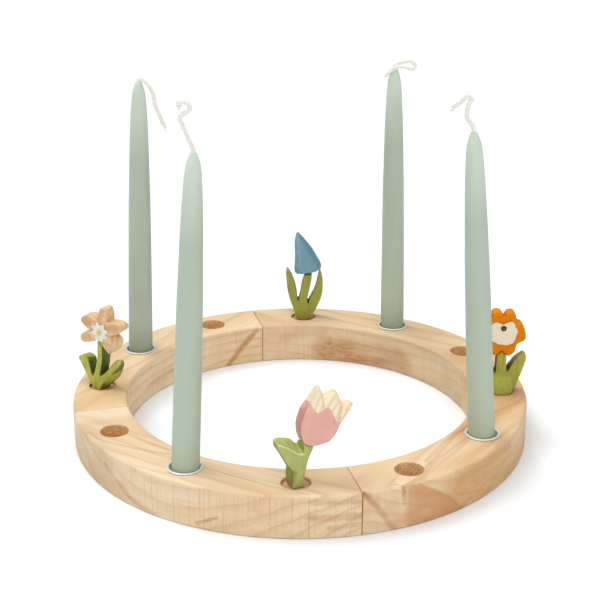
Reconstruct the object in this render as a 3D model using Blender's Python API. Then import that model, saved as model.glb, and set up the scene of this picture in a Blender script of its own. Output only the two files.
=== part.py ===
"""Candle ring of four loose wooden quarters, with four candles in metal cups and four carved flowers.

The sizes below are in millimetres. Heights of what stands on the ring count from the ring's top face.
"""

import math

import bmesh
import bpy
from mathutils import Matrix, Vector

MM = 0.001

Outline = list[tuple[float, float]]
Layers = list[tuple[float, Outline]]

# Ring
OUTER_RADIUS = 200.0
INNER_RADIUS = 153.0
RING_HEIGHT = 37.0
TOP_ROUNDING = 2.4
FOOT_ROUNDING = 1.0
LEAST_FOOT_ROUNDING = 0.3
SEAM_ROUNDING = 1.0
# Where a quarter's rounded end has its middle step, as a share of the rounding
SEAM_ROUNDING_STEP = 0.3
SEAM_GAP = 0.5
QUARTER_STEPS = 22
HOLE_CIRCLE_RADIUS = 177.0
HOLE_SPACING_DEG = 30.0
FIRST_HOLE_DEG = -75.0
# How far some hand-drilled holes sit from their even spacing
HOLE_DRIFT_DEG = {0: 0.3, 3: 0.4, 6: 0.3, 8: -1.5}

# Holes in the ring
SOCKET_RADIUS = 11.85
SOCKET_DEPTH = 22.0
CUP_BORE_RADIUS = 13.55
CUP_BORE_DEPTH = 21.0
HOLE_EDGE = 0.5
HOLE_SIDES = 24

# Candle cups
CUP_RADIUS = 13.2
CUP_WALL = 0.6
CUP_FLOOR_DEPTH = 20.6
CUP_RIM_RADIUS = 14.8
CUP_RIM_HEIGHT = 1.3
CUP_RIM_ROUNDING = 0.35
CUP_FOOT_ROUNDING = 1.0
CUP_INSIDE_ROUNDING = 0.7
CUP_SIDES = 24
FIT_GAP = 0.3

# Candles: (height above the ring, radius), from the foot to the tip
CANDLE_FOOT = -19.2
CANDLE_TIP = 257.0
CANDLE_FOOT_ROUNDING = 0.8
# How far a leaning candle's foot slides across its cup, for each degree of lean
FOOT_SLIDE_PER_DEG = 0.12
CANDLE_TAPER = (
    (CANDLE_FOOT, 10.9),
    (0.0, 11.15),
    (21.0, 11.2),
    (80.0, 10.75),
    (137.0, 10.1),
    (160.0, 9.6),
    (185.0, 9.05),
    (210.0, 8.3),
    (224.0, 7.65),
    (236.0, 6.95),
    (244.0, 6.2),
    (249.0, 5.4),
    (253.0, 4.1),
    (255.7, 3.2),
    (CANDLE_TIP, 2.4),
)
CANDLE_SIDES = 20
WICK_RADIUS = 1.5
WICK_BORE_RADIUS = 1.85
WICK_BORE_LIP = 0.1
WICK_FOOT_GAP = 0.4
# The straight stretch of a wick, below and above the candle's tip
WICK_BELOW_TIP = 4.0
WICK_ABOVE_TIP = 1.2
WICK_STEPS = 2

# The candles lean and the wicks curl in one upright plane, whose sideways direction is this one
SIDEWAYS_DEG = -13.95

# Flowers
PEG_RADIUS = 11.5
PEG_TOP = -2.6
PEG_FOOT = -21.7
PEG_ROUNDING = 0.8
PEG_SIDES = 16
STEM_FOOT = PEG_TOP + FIT_GAP
SPLIT_GAP = 0.3
PAINT_THICKNESS = 0.8
EDGE_ROUNDING = 1.0
ROUNDED_OVER_DEG = 50.0
SCOOP_RADIUS = 13.0
SCOOP_SIDES = 20
SCOOP_RINGS = 14
DOME_SIDES = 16
# A domed dot's (share of its width, share of its thickness), from its edge to its top
DOME_STEPS = ((1.0, 0.0), (0.96, 0.45), (0.75, 0.8), (0.4, 0.96))

# Tulip: outlines of (across, up) points, anticlockwise from the foot
TULIP_FACING_DEG = -79.8
TULIP_HALF_DEPTH = 6.2
TULIP_STEM: Outline = [
    (-5.4, STEM_FOOT),
    (4.6, STEM_FOOT),
    (5.0, 6.5),
    (6.1, 12.1),
    (7.5, 17.6),
    (9.2, 23.0),
    (11.2, 27.0),
    (13.0, 30.7),
    (8.5, 31.6),
    (4.3, 34.3),
    (4.0, 30.5),
    (4.2, 27.0),
    (1.4, 26.3),
    (-3.1, 29.2),
    (-8.3, 33.3),
    (-14.0, 36.8),
    (-17.0, 38.6),
    (-18.0, 37.2),
    (-16.6, 33.0),
    (-13.8, 27.8),
    (-10.4, 22.1),
    (-7.9, 17.6),
    (-4.2, 12.6),
    (-4.6, 7.5),
    (-5.0, 3.0),
]
TULIP_STEM_BACK_CHANGES = {
    10: (3.8, 32.0),
    11: (2.8, 31.0),
    12: (0.4, 33.0),
    13: (-2.2, 36.0),
    14: (-7.6, 38.2),
    15: (-12.6, 38.8),
    16: (-15.8, 38.6),
    17: (-16.8, 37.0),
    22: (-6.0, 13.0),
    23: (-6.4, 8.0),
    24: (-6.2, 3.0),
}
TULIP_BLOOM: Outline = [
    (13.6, 31.2),
    (20.5, 31.1),
    (25.6, 32.2),
    (29.8, 36.0),
    (33.2, 41.3),
    (37.9, 48.9),
    (42.4, 55.7),
    (45.7, 60.4),
    (44.4, 63.0),
    (41.4, 63.2),
    (38.4, 60.0),
    (33.6, 54.4),
    (34.3, 60.0),
    (34.8, 65.4),
    (33.2, 69.4),
    (31.2, 72.4),
    (28.8, 72.8),
    (25.6, 70.0),
    (21.6, 65.4),
    (20.2, 70.6),
    (18.8, 75.6),
    (16.8, 79.0),
    (14.6, 78.2),
    (10.6, 73.0),
    (6.9, 65.4),
    (3.6, 58.0),
    (1.9, 51.5),
    (1.8, 44.9),
    (2.9, 39.5),
    (4.4, 34.8),
    (8.6, 32.1),
]
TULIP_BLOOM_BACK_CHANGES = {
    6: (43.6, 50.0),
    7: (50.2, 55.2),
    8: (49.8, 57.6),
    9: (46.6, 59.4),
    10: (43.4, 59.6),
    11: (41.2, 60.0),
    12: (40.4, 61.6),
    13: (39.0, 64.8),
    14: (36.8, 68.6),
    15: (34.4, 70.8),
    16: (31.8, 71.2),
    17: (28.6, 70.2),
    18: (25.0, 69.0),
    19: (24.2, 71.2),
    20: (22.8, 74.6),
    21: (20.2, 77.8),
    22: (18.0, 77.0),
    23: (14.6, 72.0),
    24: (10.2, 66.4),
    25: (5.4, 60.2),
    26: (2.6, 54.0),
    27: (2.0, 47.5),
}
TULIP_BLOOM_ROUNDING = 1.3
TULIP_BELLY = 0.4
TULIP_PAINT_EDGE: Outline = [
    (-6.0, 68.0),
    (9.2, 69.0),
    (10.5, 66.2),
    (12.7, 61.8),
    (15.4, 58.8),
    (18.0, 59.9),
    (21.1, 61.5),
    (24.3, 62.0),
    (27.4, 59.0),
    (28.8, 55.1),
    (30.2, 51.0),
    (32.9, 48.2),
    (36.5, 48.2),
    (58.0, 47.0),
]
PAINT_CUTTER_HALF_DEPTH = 12.0
PAINT_CUTTER_TOP = 120.0

# Bluebell
BLUEBELL_FACING_DEG = -104.1
BLUEBELL_HALF_DEPTH = 5.2
BLUEBELL_STEM: Outline = [
    (-5.6, STEM_FOOT),
    (5.4, STEM_FOOT),
    (8.2, 0.4),
    (10.3, 5.0),
    (13.0, 9.8),
    (15.4, 15.3),
    (17.6, 21.4),
    (19.1, 28.0),
    (19.6, 34.4),
    (19.2, 40.2),
    (18.1, 45.4),
    (16.9, 48.6),
    (15.9, 48.4),
    (14.9, 45.6),
    (13.7, 39.4),
    (12.4, 33.4),
    (10.4, 28.0),
    (7.6, 22.4),
    (5.4, 16.4),
    (4.6, 12.2),
    (4.2, 16.4),
    (4.5, 21.4),
    (5.6, 28.0),
    (7.1, 34.9),
    (8.2, 40.4),
    (8.6, 46.0),
    (1.3, 45.0),
    (-0.6, 39.0),
    (-2.0, 33.3),
    (-3.0, 26.9),
    (-4.2, 20.4),
    (-5.2, 15.4),
    (-5.8, 20.4),
    (-6.5, 26.5),
    (-7.8, 33.0),
    (-9.4, 39.1),
    (-11.7, 44.6),
    (-14.7, 49.8),
    (-15.8, 51.2),
    (-16.6, 50.6),
    (-17.1, 47.6),
    (-16.9, 42.4),
    (-16.1, 34.9),
    (-15.1, 27.1),
    (-13.3, 19.8),
    (-10.8, 12.4),
    (-8.6, 5.4),
    (-7.4, 0.4),
]
BLUEBELL_STEM_BACK_CHANGES = {18: (5.8, 19.4), 19: (4.8, 16.4), 20: (4.3, 18.4), 31: (-5.1, 18.6)}
# Each section runs from the bell's left edge to its right edge, with a half depth
BELL_SECTIONS = (
    ((-6.8, 45.6), (15.6, 49.2), 6.2),
    ((-8.3, 46.9), (17.6, 51.0), 7.3),
    ((-8.9, 51.5), (18.1, 54.4), 7.6),
    ((-8.5, 58.5), (16.4, 59.2), 7.3),
    ((-8.2, 65.0), (13.1, 64.8), 6.7),
    ((-8.5, 71.5), (9.4, 71.6), 5.9),
    ((-8.5, 78.0), (4.7, 77.9), 4.8),
    ((-7.9, 83.6), (0.2, 83.4), 3.3),
    ((-6.9, 87.6), (-3.6, 87.6), 1.6),
    ((-6.1, 88.7), (-4.9, 88.8), 0.6),
)
BELL_FACETS_DEG = (0.0, 38.0, 74.0, 117.0, 150.0, 180.0, 216.0, 252.0, 288.0, 324.0)
BELL_SHARP_DEG = 24.0

# Daffodil
DAFFODIL_FACING_DEG = -135.4
DAFFODIL_HALF_DEPTH = 6.5
DAFFODIL_STEM: Outline = [
    (-4.8, STEM_FOOT),
    (1.6, STEM_FOOT),
    (3.2, 2.0),
    (6.4, 6.6),
    (13.0, 13.8),
    (20.0, 20.6),
    (25.0, 25.8),
    (27.8, 29.2),
    (28.2, 31.6),
    (26.0, 31.9),
    (20.3, 27.2),
    (13.4, 20.3),
    (8.0, 15.2),
    (4.6, 12.2),
    (2.4, 10.6),
    (3.2, 15.0),
    (4.9, 21.8),
    (6.2, 29.0),
    (6.5, 35.0),
    (6.5, 39.9),
    (2.7, 45.3),
    (1.6, 44.7),
    (1.6, 38.0),
    (0.9, 31.2),
    (-0.9, 21.4),
    (-3.2, 14.0),
    (-5.6, 9.2),
    (-6.8, 11.6),
    (-8.0, 17.4),
    (-9.5, 23.6),
    (-11.6, 27.2),
    (-15.0, 28.2),
    (-19.0, 26.8),
    (-21.4, 24.6),
    (-19.2, 21.4),
    (-15.8, 15.6),
    (-12.4, 10.2),
    (-9.6, 5.0),
    (-6.6, 0.2),
]
DAFFODIL_LEAF_MIDDLE_CHANGES = {
    1: (3.4, STEM_FOOT),
    2: (6.4, 0.8),
    3: (14.3, 6.9),
    4: (20.3, 13.2),
    5: (23.5, 19.6),
    6: (25.4, 24.9),
    7: (25.6, 27.4),
    8: (25.0, 29.2),
    9: (22.6, 29.8),
    10: (17.4, 26.2),
    11: (11.0, 20.2),
    12: (6.4, 15.4),
    29: (-9.6, 22.0),
    30: (-11.2, 25.4),
    31: (-14.6, 27.0),
    32: (-18.8, 26.4),
}
DAFFODIL_LEAF_BACK_CHANGES = {
    1: (3.4, STEM_FOOT),
    2: (5.6, 0.2),
    3: (9.3, 3.6),
    4: (15.4, 9.9),
    5: (18.6, 16.3),
    6: (20.6, 21.6),
    7: (20.8, 23.8),
    8: (19.9, 25.6),
    9: (17.6, 26.3),
    10: (13.4, 25.2),
    11: (8.6, 20.9),
    12: (5.8, 17.0),
    13: (3.6, 14.0),
    28: (-8.4, 15.0),
    29: (-9.8, 20.2),
    30: (-10.7, 23.4),
    31: (-14.0, 25.5),
    32: (-18.4, 25.7),
    33: (-21.0, 23.8),
}
DAFFODIL_BLOOM: Outline = [
    (13.3, 51.6),
    (16.1, 45.4),
    (16.9, 41.4),
    (16.7, 36.4),
    (14.4, 34.2),
    (11.2, 36.0),
    (6.9, 40.4),
    (2.9, 46.2),
    (-2.1, 43.8),
    (-8.9, 41.2),
    (-13.9, 40.2),
    (-16.9, 41.6),
    (-18.1, 44.6),
    (-17.3, 47.6),
    (-14.1, 49.6),
    (-9.1, 51.6),
    (-4.9, 53.6),
    (-9.5, 54.6),
    (-13.7, 56.6),
    (-16.5, 59.8),
    (-16.7, 62.8),
    (-13.5, 65.4),
    (-8.5, 66.8),
    (-3.1, 66.4),
    (1.9, 64.2),
    (2.7, 68.4),
    (4.3, 73.6),
    (6.3, 76.4),
    (8.9, 77.2),
    (11.7, 75.8),
    (13.1, 70.2),
    (13.1, 64.0),
    (17.5, 65.0),
    (22.7, 65.2),
    (27.0, 63.6),
    (28.7, 61.0),
    (27.4, 58.2),
    (23.1, 54.8),
]
DAFFODIL_BLOOM_BACK_CHANGES = {
    0: (16.5, 52.0),
    1: (21.1, 48.8),
    2: (22.3, 44.4),
    3: (19.5, 38.8),
    4: (15.9, 35.2),
    37: (23.3, 55.6),
}
DAFFODIL_BLOOM_ROUNDING = 1.4
DAFFODIL_CENTRE = (5.5, 54.4)
DAFFODIL_CENTRE_SIZE = (2.8, 3.6, 1.6)
# Scoops in the petals' fronts: (across, up) and depth
DAFFODIL_SCOOPS = (
    ((-10.1, 60.8), 2.2),
    ((-11.1, 46.0), 2.2),
    ((11.9, 41.2), 1.8),
    ((21.9, 60.6), 2.4),
    ((7.9, 71.8), 1.6),
)
# White points of the painted star: direction and length
STAR_POINTS = ((14.0, 11.4), (88.0, 11.6), (156.0, 10.8), (208.0, 10.2), (292.0, 10.2))
# A blunt point's (turn from its direction, share of its length)
STAR_POINT_STEPS = ((-12.0, 0.78), (-7.5, 0.96), (0.0, 1.0), (7.5, 0.96), (12.0, 0.78))
STAR_NOTCH_RADIUS = 5.0

# Pansy
PANSY_FACING_DEG = -104.5
PANSY_HALF_DEPTH = 6.0
PANSY_PEG_TOP = 0.0
PANSY_STEM: Outline = [
    (-9.6, 1.1),
    (10.4, 1.1),
    (12.4, 2.4),
    (14.0, 7.0),
    (15.8, 13.0),
    (17.9, 19.6),
    (20.0, 25.6),
    (21.2, 30.6),
    (21.4, 34.6),
    (20.4, 38.4),
    (17.6, 38.8),
    (13.6, 34.6),
    (10.2, 29.4),
    (7.6, 24.0),
    (5.2, 18.8),
    (4.7, 23.0),
    (4.5, 28.0),
    (4.0, 34.9),
    (-0.2, 39.1),
    (-4.4, 35.1),
    (-4.5, 28.0),
    (-4.6, 21.4),
    (-5.4, 17.2),
    (-8.4, 23.8),
    (-11.4, 29.4),
    (-15.2, 34.4),
    (-18.4, 37.0),
    (-20.6, 36.4),
    (-21.4, 32.6),
    (-20.6, 28.0),
    (-18.6, 21.4),
    (-16.4, 14.4),
    (-14.4, 8.4),
    (-12.2, 2.4),
]
PANSY_STEM_BACK_CHANGES = {
    9: (20.8, 35.4),
    10: (18.4, 36.0),
    11: (13.4, 32.4),
    12: (9.6, 28.2),
    13: (6.8, 24.4),
    14: (5.2, 20.6),
    22: (-5.4, 19.2),
    26: (-18.2, 35.0),
    27: (-20.4, 34.6),
}
# Sections of the thick foot: height, half width and half depth
PANSY_FOOT = (
    (PANSY_PEG_TOP + FIT_GAP, 11.3, 11.9),
    (3.0, 12.2, 11.6),
    (8.0, 12.6, 10.2),
    (13.0, 12.0, 8.0),
    (17.2, 9.2, 5.1),
)
PANSY_FOOT_SIDES = 20
PANSY_FOOT_SQUARENESS = 0.6
PANSY_BLOOM: Outline = [
    (6.4, 34.9),
    (9.2, 36.6),
    (11.4, 39.2),
    (11.9, 42.0),
    (12.8, 45.6),
    (15.0, 47.6),
    (18.4, 49.0),
    (20.0, 50.8),
    (20.4, 53.0),
    (20.0, 56.4),
    (18.8, 60.4),
    (17.0, 63.9),
    (15.3, 65.7),
    (13.2, 66.3),
    (11.4, 66.5),
    (11.3, 69.6),
    (10.6, 72.8),
    (8.8, 75.2),
    (6.6, 76.1),
    (3.6, 75.6),
    (2.0, 74.0),
    (0.6, 71.0),
    (-0.8, 73.4),
    (-2.6, 75.6),
    (-5.0, 76.5),
    (-8.2, 76.0),
    (-10.0, 73.6),
    (-10.8, 70.0),
    (-10.9, 66.9),
    (-13.4, 66.2),
    (-15.8, 65.2),
    (-17.8, 63.0),
    (-19.6, 59.0),
    (-20.6, 55.0),
    (-20.8, 51.6),
    (-19.8, 49.6),
    (-17.2, 48.2),
    (-14.7, 47.0),
    (-13.2, 44.8),
    (-12.2, 41.8),
    (-11.4, 39.0),
    (-9.6, 37.0),
    (-7.6, 36.0),
    (-4.7, 35.4),
    (-0.2, 39.7),
    (4.2, 35.2),
]
PANSY_BLOOM_ROUNDING = 1.8
PANSY_FACE: Outline = [
    (4.0, 45.8),
    (6.6, 46.9),
    (9.2, 48.0),
    (10.6, 50.6),
    (11.4, 54.4),
    (12.6, 57.8),
    (12.1, 60.6),
    (10.6, 62.6),
    (9.9, 65.4),
    (8.4, 67.2),
    (6.2, 67.7),
    (3.6, 66.9),
    (0.2, 65.1),
    (-3.0, 66.2),
    (-5.8, 67.2),
    (-8.4, 66.4),
    (-10.0, 64.6),
    (-10.6, 61.8),
    (-12.0, 59.6),
    (-12.4, 56.6),
    (-11.4, 53.6),
    (-10.4, 50.4),
    (-8.0, 48.8),
    (-5.6, 48.0),
    (-3.7, 46.6),
    (0.2, 46.4),
]
PANSY_EYE = (0.3, 61.8)
PANSY_EYE_SIZE = (2.5, 2.5, 1.2)

COLOURS = {
    "pine": (0.80, 0.63, 0.40),
    "peg_wood": (0.72, 0.52, 0.38),
    "cup_metal": (0.86, 0.87, 0.88),
    "candle_wax": (0.47, 0.54, 0.45),
    "wick_cotton": (0.90, 0.88, 0.82),
    "leaf_green": (0.38, 0.40, 0.11),
    "petal_pink": (0.80, 0.42, 0.36),
    "petal_wood": (0.86, 0.68, 0.44),
    "bell_blue": (0.17, 0.31, 0.38),
    "daffodil_wood": (0.72, 0.48, 0.24),
    "star_white": (0.86, 0.84, 0.80),
    "centre_yellow": (0.84, 0.60, 0.10),
    "pansy_orange": (0.80, 0.24, 0.02),
    "face_cream": (0.80, 0.70, 0.52),
    "eye_brown": (0.08, 0.03, 0.01),
}
PLAIN_ROUGHNESS = 0.6
ROUGHNESS = {"cup_metal": 0.25, "candle_wax": 0.45}
METALLIC = {"cup_metal": 1.0}


def clear_scene() -> None:
    """Remove everything that the startup scene holds."""
    for obj in list(bpy.data.objects):
        bpy.data.objects.remove(obj, do_unlink=True)


def make_material(slot: str) -> bpy.types.Material:
    """Return the named material, made on first use."""
    material = bpy.data.materials.get(slot)
    if material is None:
        material = bpy.data.materials.new(slot)
        material.use_nodes = True
        shader = material.node_tree.nodes["Principled BSDF"]
        shader.inputs["Base Color"].default_value = (*COLOURS[slot], 1.0)
        shader.inputs["Roughness"].default_value = ROUGHNESS.get(slot, PLAIN_ROUGHNESS)
        shader.inputs["Metallic"].default_value = METALLIC.get(slot, 0.0)
    return material


def add_object(
    name: str,
    bm: bmesh.types.BMesh,
    slot: str | None,
    sharp_deg: float = 35.0,
) -> bpy.types.Object:
    """Turn a bmesh into an object with its faces outward; one with no slot is a helper."""
    bmesh.ops.recalc_face_normals(bm, faces=bm.faces)
    mesh = bpy.data.meshes.new(name)
    bm.to_mesh(mesh)
    bm.free()
    mesh.shade_smooth()
    mesh.set_sharp_from_angle(angle=math.radians(sharp_deg))
    obj = bpy.data.objects.new(name, mesh)
    bpy.context.scene.collection.objects.link(obj)
    if slot is None:
        obj.hide_render = True
        obj.display_type = "WIRE"
    else:
        mesh.materials.append(make_material(slot))
    return obj


def combine(obj: bpy.types.Object, helper: bpy.types.Object, operation: str) -> None:
    """Take the helper's shape out of the object (DIFFERENCE) or join it on (UNION)."""
    modifier = obj.modifiers.new(helper.name, "BOOLEAN")
    modifier.operation = operation
    modifier.solver = "EXACT"
    modifier.object = helper


def skin_rings(bm: bmesh.types.BMesh, rings: list[list[bmesh.types.BMVert]], closed: bool) -> None:
    """Join neighbouring rings of points with faces; closed joins the last ring to the first."""
    count = len(rings)
    for index in range(count if closed else count - 1):
        here = rings[index]
        there = rings[(index + 1) % count]
        for side in range(len(here)):
            after = (side + 1) % len(here)
            corners = [here[side], here[after], there[after], there[side]]
            unique = list(dict.fromkeys(corners))
            if len(unique) > 2:
                bm.faces.new(unique)


def capped(places: list[list[Vector]]) -> bmesh.types.BMesh:
    """A solid through rings of places in millimetres, closed by a face at each end."""
    bm = bmesh.new()
    rings = [[bm.verts.new(place * MM) for place in ring] for ring in places]
    skin_rings(bm, rings, closed=False)
    bm.faces.new(rings[0])
    bm.faces.new(rings[-1])
    return bm


def turned(profile: Outline, sides: int, closed: bool = False) -> bmesh.types.BMesh:
    """Turn a profile of (radius, height) points round the Z axis; a radius of 0 is a point on the axis."""
    bm = bmesh.new()
    rings = []
    for radius, height in profile:
        if radius == 0.0:
            rings.append([bm.verts.new((0.0, 0.0, height * MM))] * sides)
            continue
        ring = []
        for side in range(sides):
            angle = 2.0 * math.pi * side / sides
            place = (radius * math.cos(angle) * MM, radius * math.sin(angle) * MM, height * MM)
            ring.append(bm.verts.new(place))
        rings.append(ring)
    skin_rings(bm, rings, closed)
    return bm


def corner_arc(centre: tuple[float, float], radius: float, start_deg: float, steps: int) -> Outline:
    """Points of a quarter circle that starts at start_deg."""
    points = []
    for step in range(steps + 1):
        angle = math.radians(start_deg + 90.0 * step / steps)
        points.append((centre[0] + radius * math.cos(angle), centre[1] + radius * math.sin(angle)))
    return points


def smooth_path(points: list[Vector], steps: int) -> list[Vector]:
    """Points of a smooth curve through the given ones."""
    path = []
    for index in range(len(points) - 1):
        before = points[max(index - 1, 0)]
        start = points[index]
        end = points[index + 1]
        after = points[min(index + 2, len(points) - 1)]
        for step in range(steps):
            t = step / steps
            straight = 2.0 * start + (end - before) * t
            bend = (2.0 * before - 5.0 * start + 4.0 * end - after) * t**2
            twist = (3.0 * start - before - 3.0 * end + after) * t**3
            path.append(0.5 * (straight + bend + twist))
    path.append(points[-1])
    return path


def hole_place(index: int) -> Vector:
    """Centre of a hole in the ring's top face, counted anticlockwise from above."""
    angle = math.radians(FIRST_HOLE_DEG + HOLE_SPACING_DEG * index + HOLE_DRIFT_DEG.get(index, 0.0))
    across = HOLE_CIRCLE_RADIUS * math.cos(angle)
    along = HOLE_CIRCLE_RADIUS * math.sin(angle)
    return Vector((across, along, RING_HEIGHT))


def sideways() -> Vector:
    """Direction in which the candles lean and the wicks curl."""
    angle = math.radians(SIDEWAYS_DEG)
    return Vector((math.cos(angle), math.sin(angle), 0.0))


def ring_section(inset: float) -> Outline:
    """The ring's cross-section, shrunk by inset all round, as (radius, height) points."""
    top = TOP_ROUNDING - inset
    foot = max(FOOT_ROUNDING - inset, LEAST_FOOT_ROUNDING)
    inner = INNER_RADIUS + inset
    outer = OUTER_RADIUS - inset
    low = inset
    high = RING_HEIGHT - inset
    points = corner_arc((outer - foot, low + foot), foot, -90.0, 1)
    points += corner_arc((outer - top, high - top), top, 0.0, 3)
    points += corner_arc((inner + top, high - top), top, 90.0, 3)
    points += corner_arc((inner + foot, low + foot), foot, 180.0, 1)
    return points


def add_quarter(name: str, start_deg: float) -> bpy.types.Object:
    """One quarter of the ring, with rounded edges and plain ends."""
    seam_half = math.degrees(0.5 * SEAM_GAP / HOLE_CIRCLE_RADIUS)
    rounding = math.degrees(SEAM_ROUNDING / HOLE_CIRCLE_RADIUS)
    first = start_deg + seam_half
    last = start_deg + 90.0 - seam_half
    reach = last - first - 2.0 * rounding
    step_in = SEAM_ROUNDING_STEP * rounding
    step_inset = SEAM_ROUNDING_STEP * SEAM_ROUNDING
    stations = [(first, SEAM_ROUNDING), (first + step_in, step_inset)]
    for step in range(QUARTER_STEPS + 1):
        stations.append((first + rounding + reach * step / QUARTER_STEPS, 0.0))
    stations.append((last - step_in, step_inset))
    stations.append((last, SEAM_ROUNDING))
    rings = []
    for angle_deg, inset in stations:
        angle = math.radians(angle_deg)
        outward = Vector((math.cos(angle), math.sin(angle), 0.0))
        section = ring_section(inset)
        rings.append([radius * outward + Vector((0.0, 0.0, height)) for radius, height in section])
    return add_object(name, capped(rings), "pine")


def add_hole_cutter(name: str, index: int, radius: float, depth: float) -> bpy.types.Object:
    """A drill's shape that leaves a slightly broken edge at the ring's top face."""
    profile = [
        (0.0, -depth),
        (radius, -depth),
        (radius, -HOLE_EDGE),
        (radius + 3.0 * HOLE_EDGE, 2.0 * HOLE_EDGE),
        (0.0, 2.0 * HOLE_EDGE),
    ]
    cutter = add_object(name, turned(profile, HOLE_SIDES), None)
    cutter.location = hole_place(index) * MM
    return cutter


def add_ring() -> None:
    """The four quarters, each with an open socket, a candle's bore and a flower's socket."""
    for number, place in enumerate(("front_right", "back_right", "back_left", "front_left")):
        quarter = add_quarter(f"ring_quarter_{place}", -90.0 + 90.0 * number)
        for index in range(3 * number, 3 * number + 3):
            is_candle = index % 3 == 1
            radius = CUP_BORE_RADIUS if is_candle else SOCKET_RADIUS
            depth = CUP_BORE_DEPTH if is_candle else SOCKET_DEPTH
            combine(quarter, add_hole_cutter(f"hole_{index}", index, radius, depth), "DIFFERENCE")


def cup_profile() -> Outline:
    """A thin pressed cup with a rolled rim that rests on the wood."""
    inner = CUP_RADIUS - CUP_WALL
    floor = -CUP_FLOOR_DEPTH
    return [
        (0.0, floor),
        (CUP_RADIUS - CUP_FOOT_ROUNDING, floor),
        (CUP_RADIUS, floor + CUP_FOOT_ROUNDING),
        (CUP_RADIUS, FIT_GAP),
        (CUP_RIM_RADIUS - CUP_RIM_ROUNDING, FIT_GAP),
        (CUP_RIM_RADIUS, FIT_GAP + CUP_RIM_ROUNDING),
        (CUP_RIM_RADIUS, CUP_RIM_HEIGHT - CUP_RIM_ROUNDING),
        (CUP_RIM_RADIUS - CUP_RIM_ROUNDING, CUP_RIM_HEIGHT),
        (inner + CUP_RIM_ROUNDING, CUP_RIM_HEIGHT),
        (inner, CUP_RIM_HEIGHT - CUP_RIM_ROUNDING),
        (inner, floor + CUP_WALL + CUP_INSIDE_ROUNDING),
        (inner - CUP_INSIDE_ROUNDING, floor + CUP_WALL),
        (0.0, floor + CUP_WALL),
    ]


def candle_profile() -> Outline:
    """A dipped candle's outside, and the bore that its wick fills, counted from the candle's foot."""
    foot_radius = CANDLE_TAPER[0][1]
    points = [
        (WICK_BORE_RADIUS, 0.0),
        (foot_radius - CANDLE_FOOT_ROUNDING, 0.0),
        (foot_radius, CANDLE_FOOT_ROUNDING),
    ]
    points += [(radius, height - CANDLE_FOOT) for height, radius in CANDLE_TAPER[1:]]
    points.append((WICK_BORE_RADIUS, CANDLE_TIP - CANDLE_FOOT + WICK_BORE_LIP))
    return points


def add_wick(name: str, foot: Vector, tip: Vector, curl: list[tuple[float, float, float]]) -> None:
    """A wick up through a candle, then along its curl of (sideways, forward, up) points past the tip."""
    across = sideways()
    forward = Vector((across.y, -across.x, 0.0))
    up = Vector((0.0, 0.0, 1.0))
    axis = (tip - foot).normalized()
    free = [tip - WICK_BELOW_TIP * axis, tip + WICK_ABOVE_TIP * axis]
    free += [tip + x * across + y * forward + z * up for x, y, z in curl]
    path = [foot + WICK_FOOT_GAP * axis, *smooth_path(free, WICK_STEPS)]
    curve = bpy.data.curves.new(name, "CURVE")
    curve.dimensions = "3D"
    curve.bevel_depth = WICK_RADIUS * MM
    curve.bevel_resolution = 2
    curve.use_fill_caps = True
    spline = curve.splines.new("POLY")
    spline.points.add(len(path) - 1)
    for point, place in zip(spline.points, path):
        point.co = (*(place * MM), 1.0)
    curve.materials.append(make_material("wick_cotton"))
    wick = bpy.data.objects.new(name, curve)
    bpy.context.scene.collection.objects.link(wick)


def add_candle(place: str, index: int, lean_deg: float, curl: list[tuple[float, float, float]]) -> None:
    """A cup in the ring, the candle that leans in it by lean_deg, and the candle's wick."""
    seat = hole_place(index)
    cup = add_object(f"candle_cup_{place}", turned(cup_profile(), CUP_SIDES), "cup_metal")
    cup.location = seat * MM
    lean = Matrix.Rotation(math.radians(lean_deg), 4, Vector((0.0, 0.0, 1.0)).cross(sideways()))
    drop = CANDLE_TAPER[0][1] * math.sin(math.radians(abs(lean_deg)))
    foot_height = CUP_WALL - CUP_FLOOR_DEPTH + FIT_GAP + drop
    slide = FOOT_SLIDE_PER_DEG * lean_deg
    foot = seat + Vector((0.0, 0.0, foot_height)) - slide * sideways()
    body = turned(candle_profile(), CANDLE_SIDES, closed=True)
    candle = add_object(f"candle_{place}", body, "candle_wax")
    candle.matrix_world = Matrix.Translation(foot * MM) @ lean
    tip = foot + lean @ Vector((0.0, 0.0, CANDLE_TIP - CANDLE_FOOT))
    add_wick(f"wick_{place}", foot, tip, curl)


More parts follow.
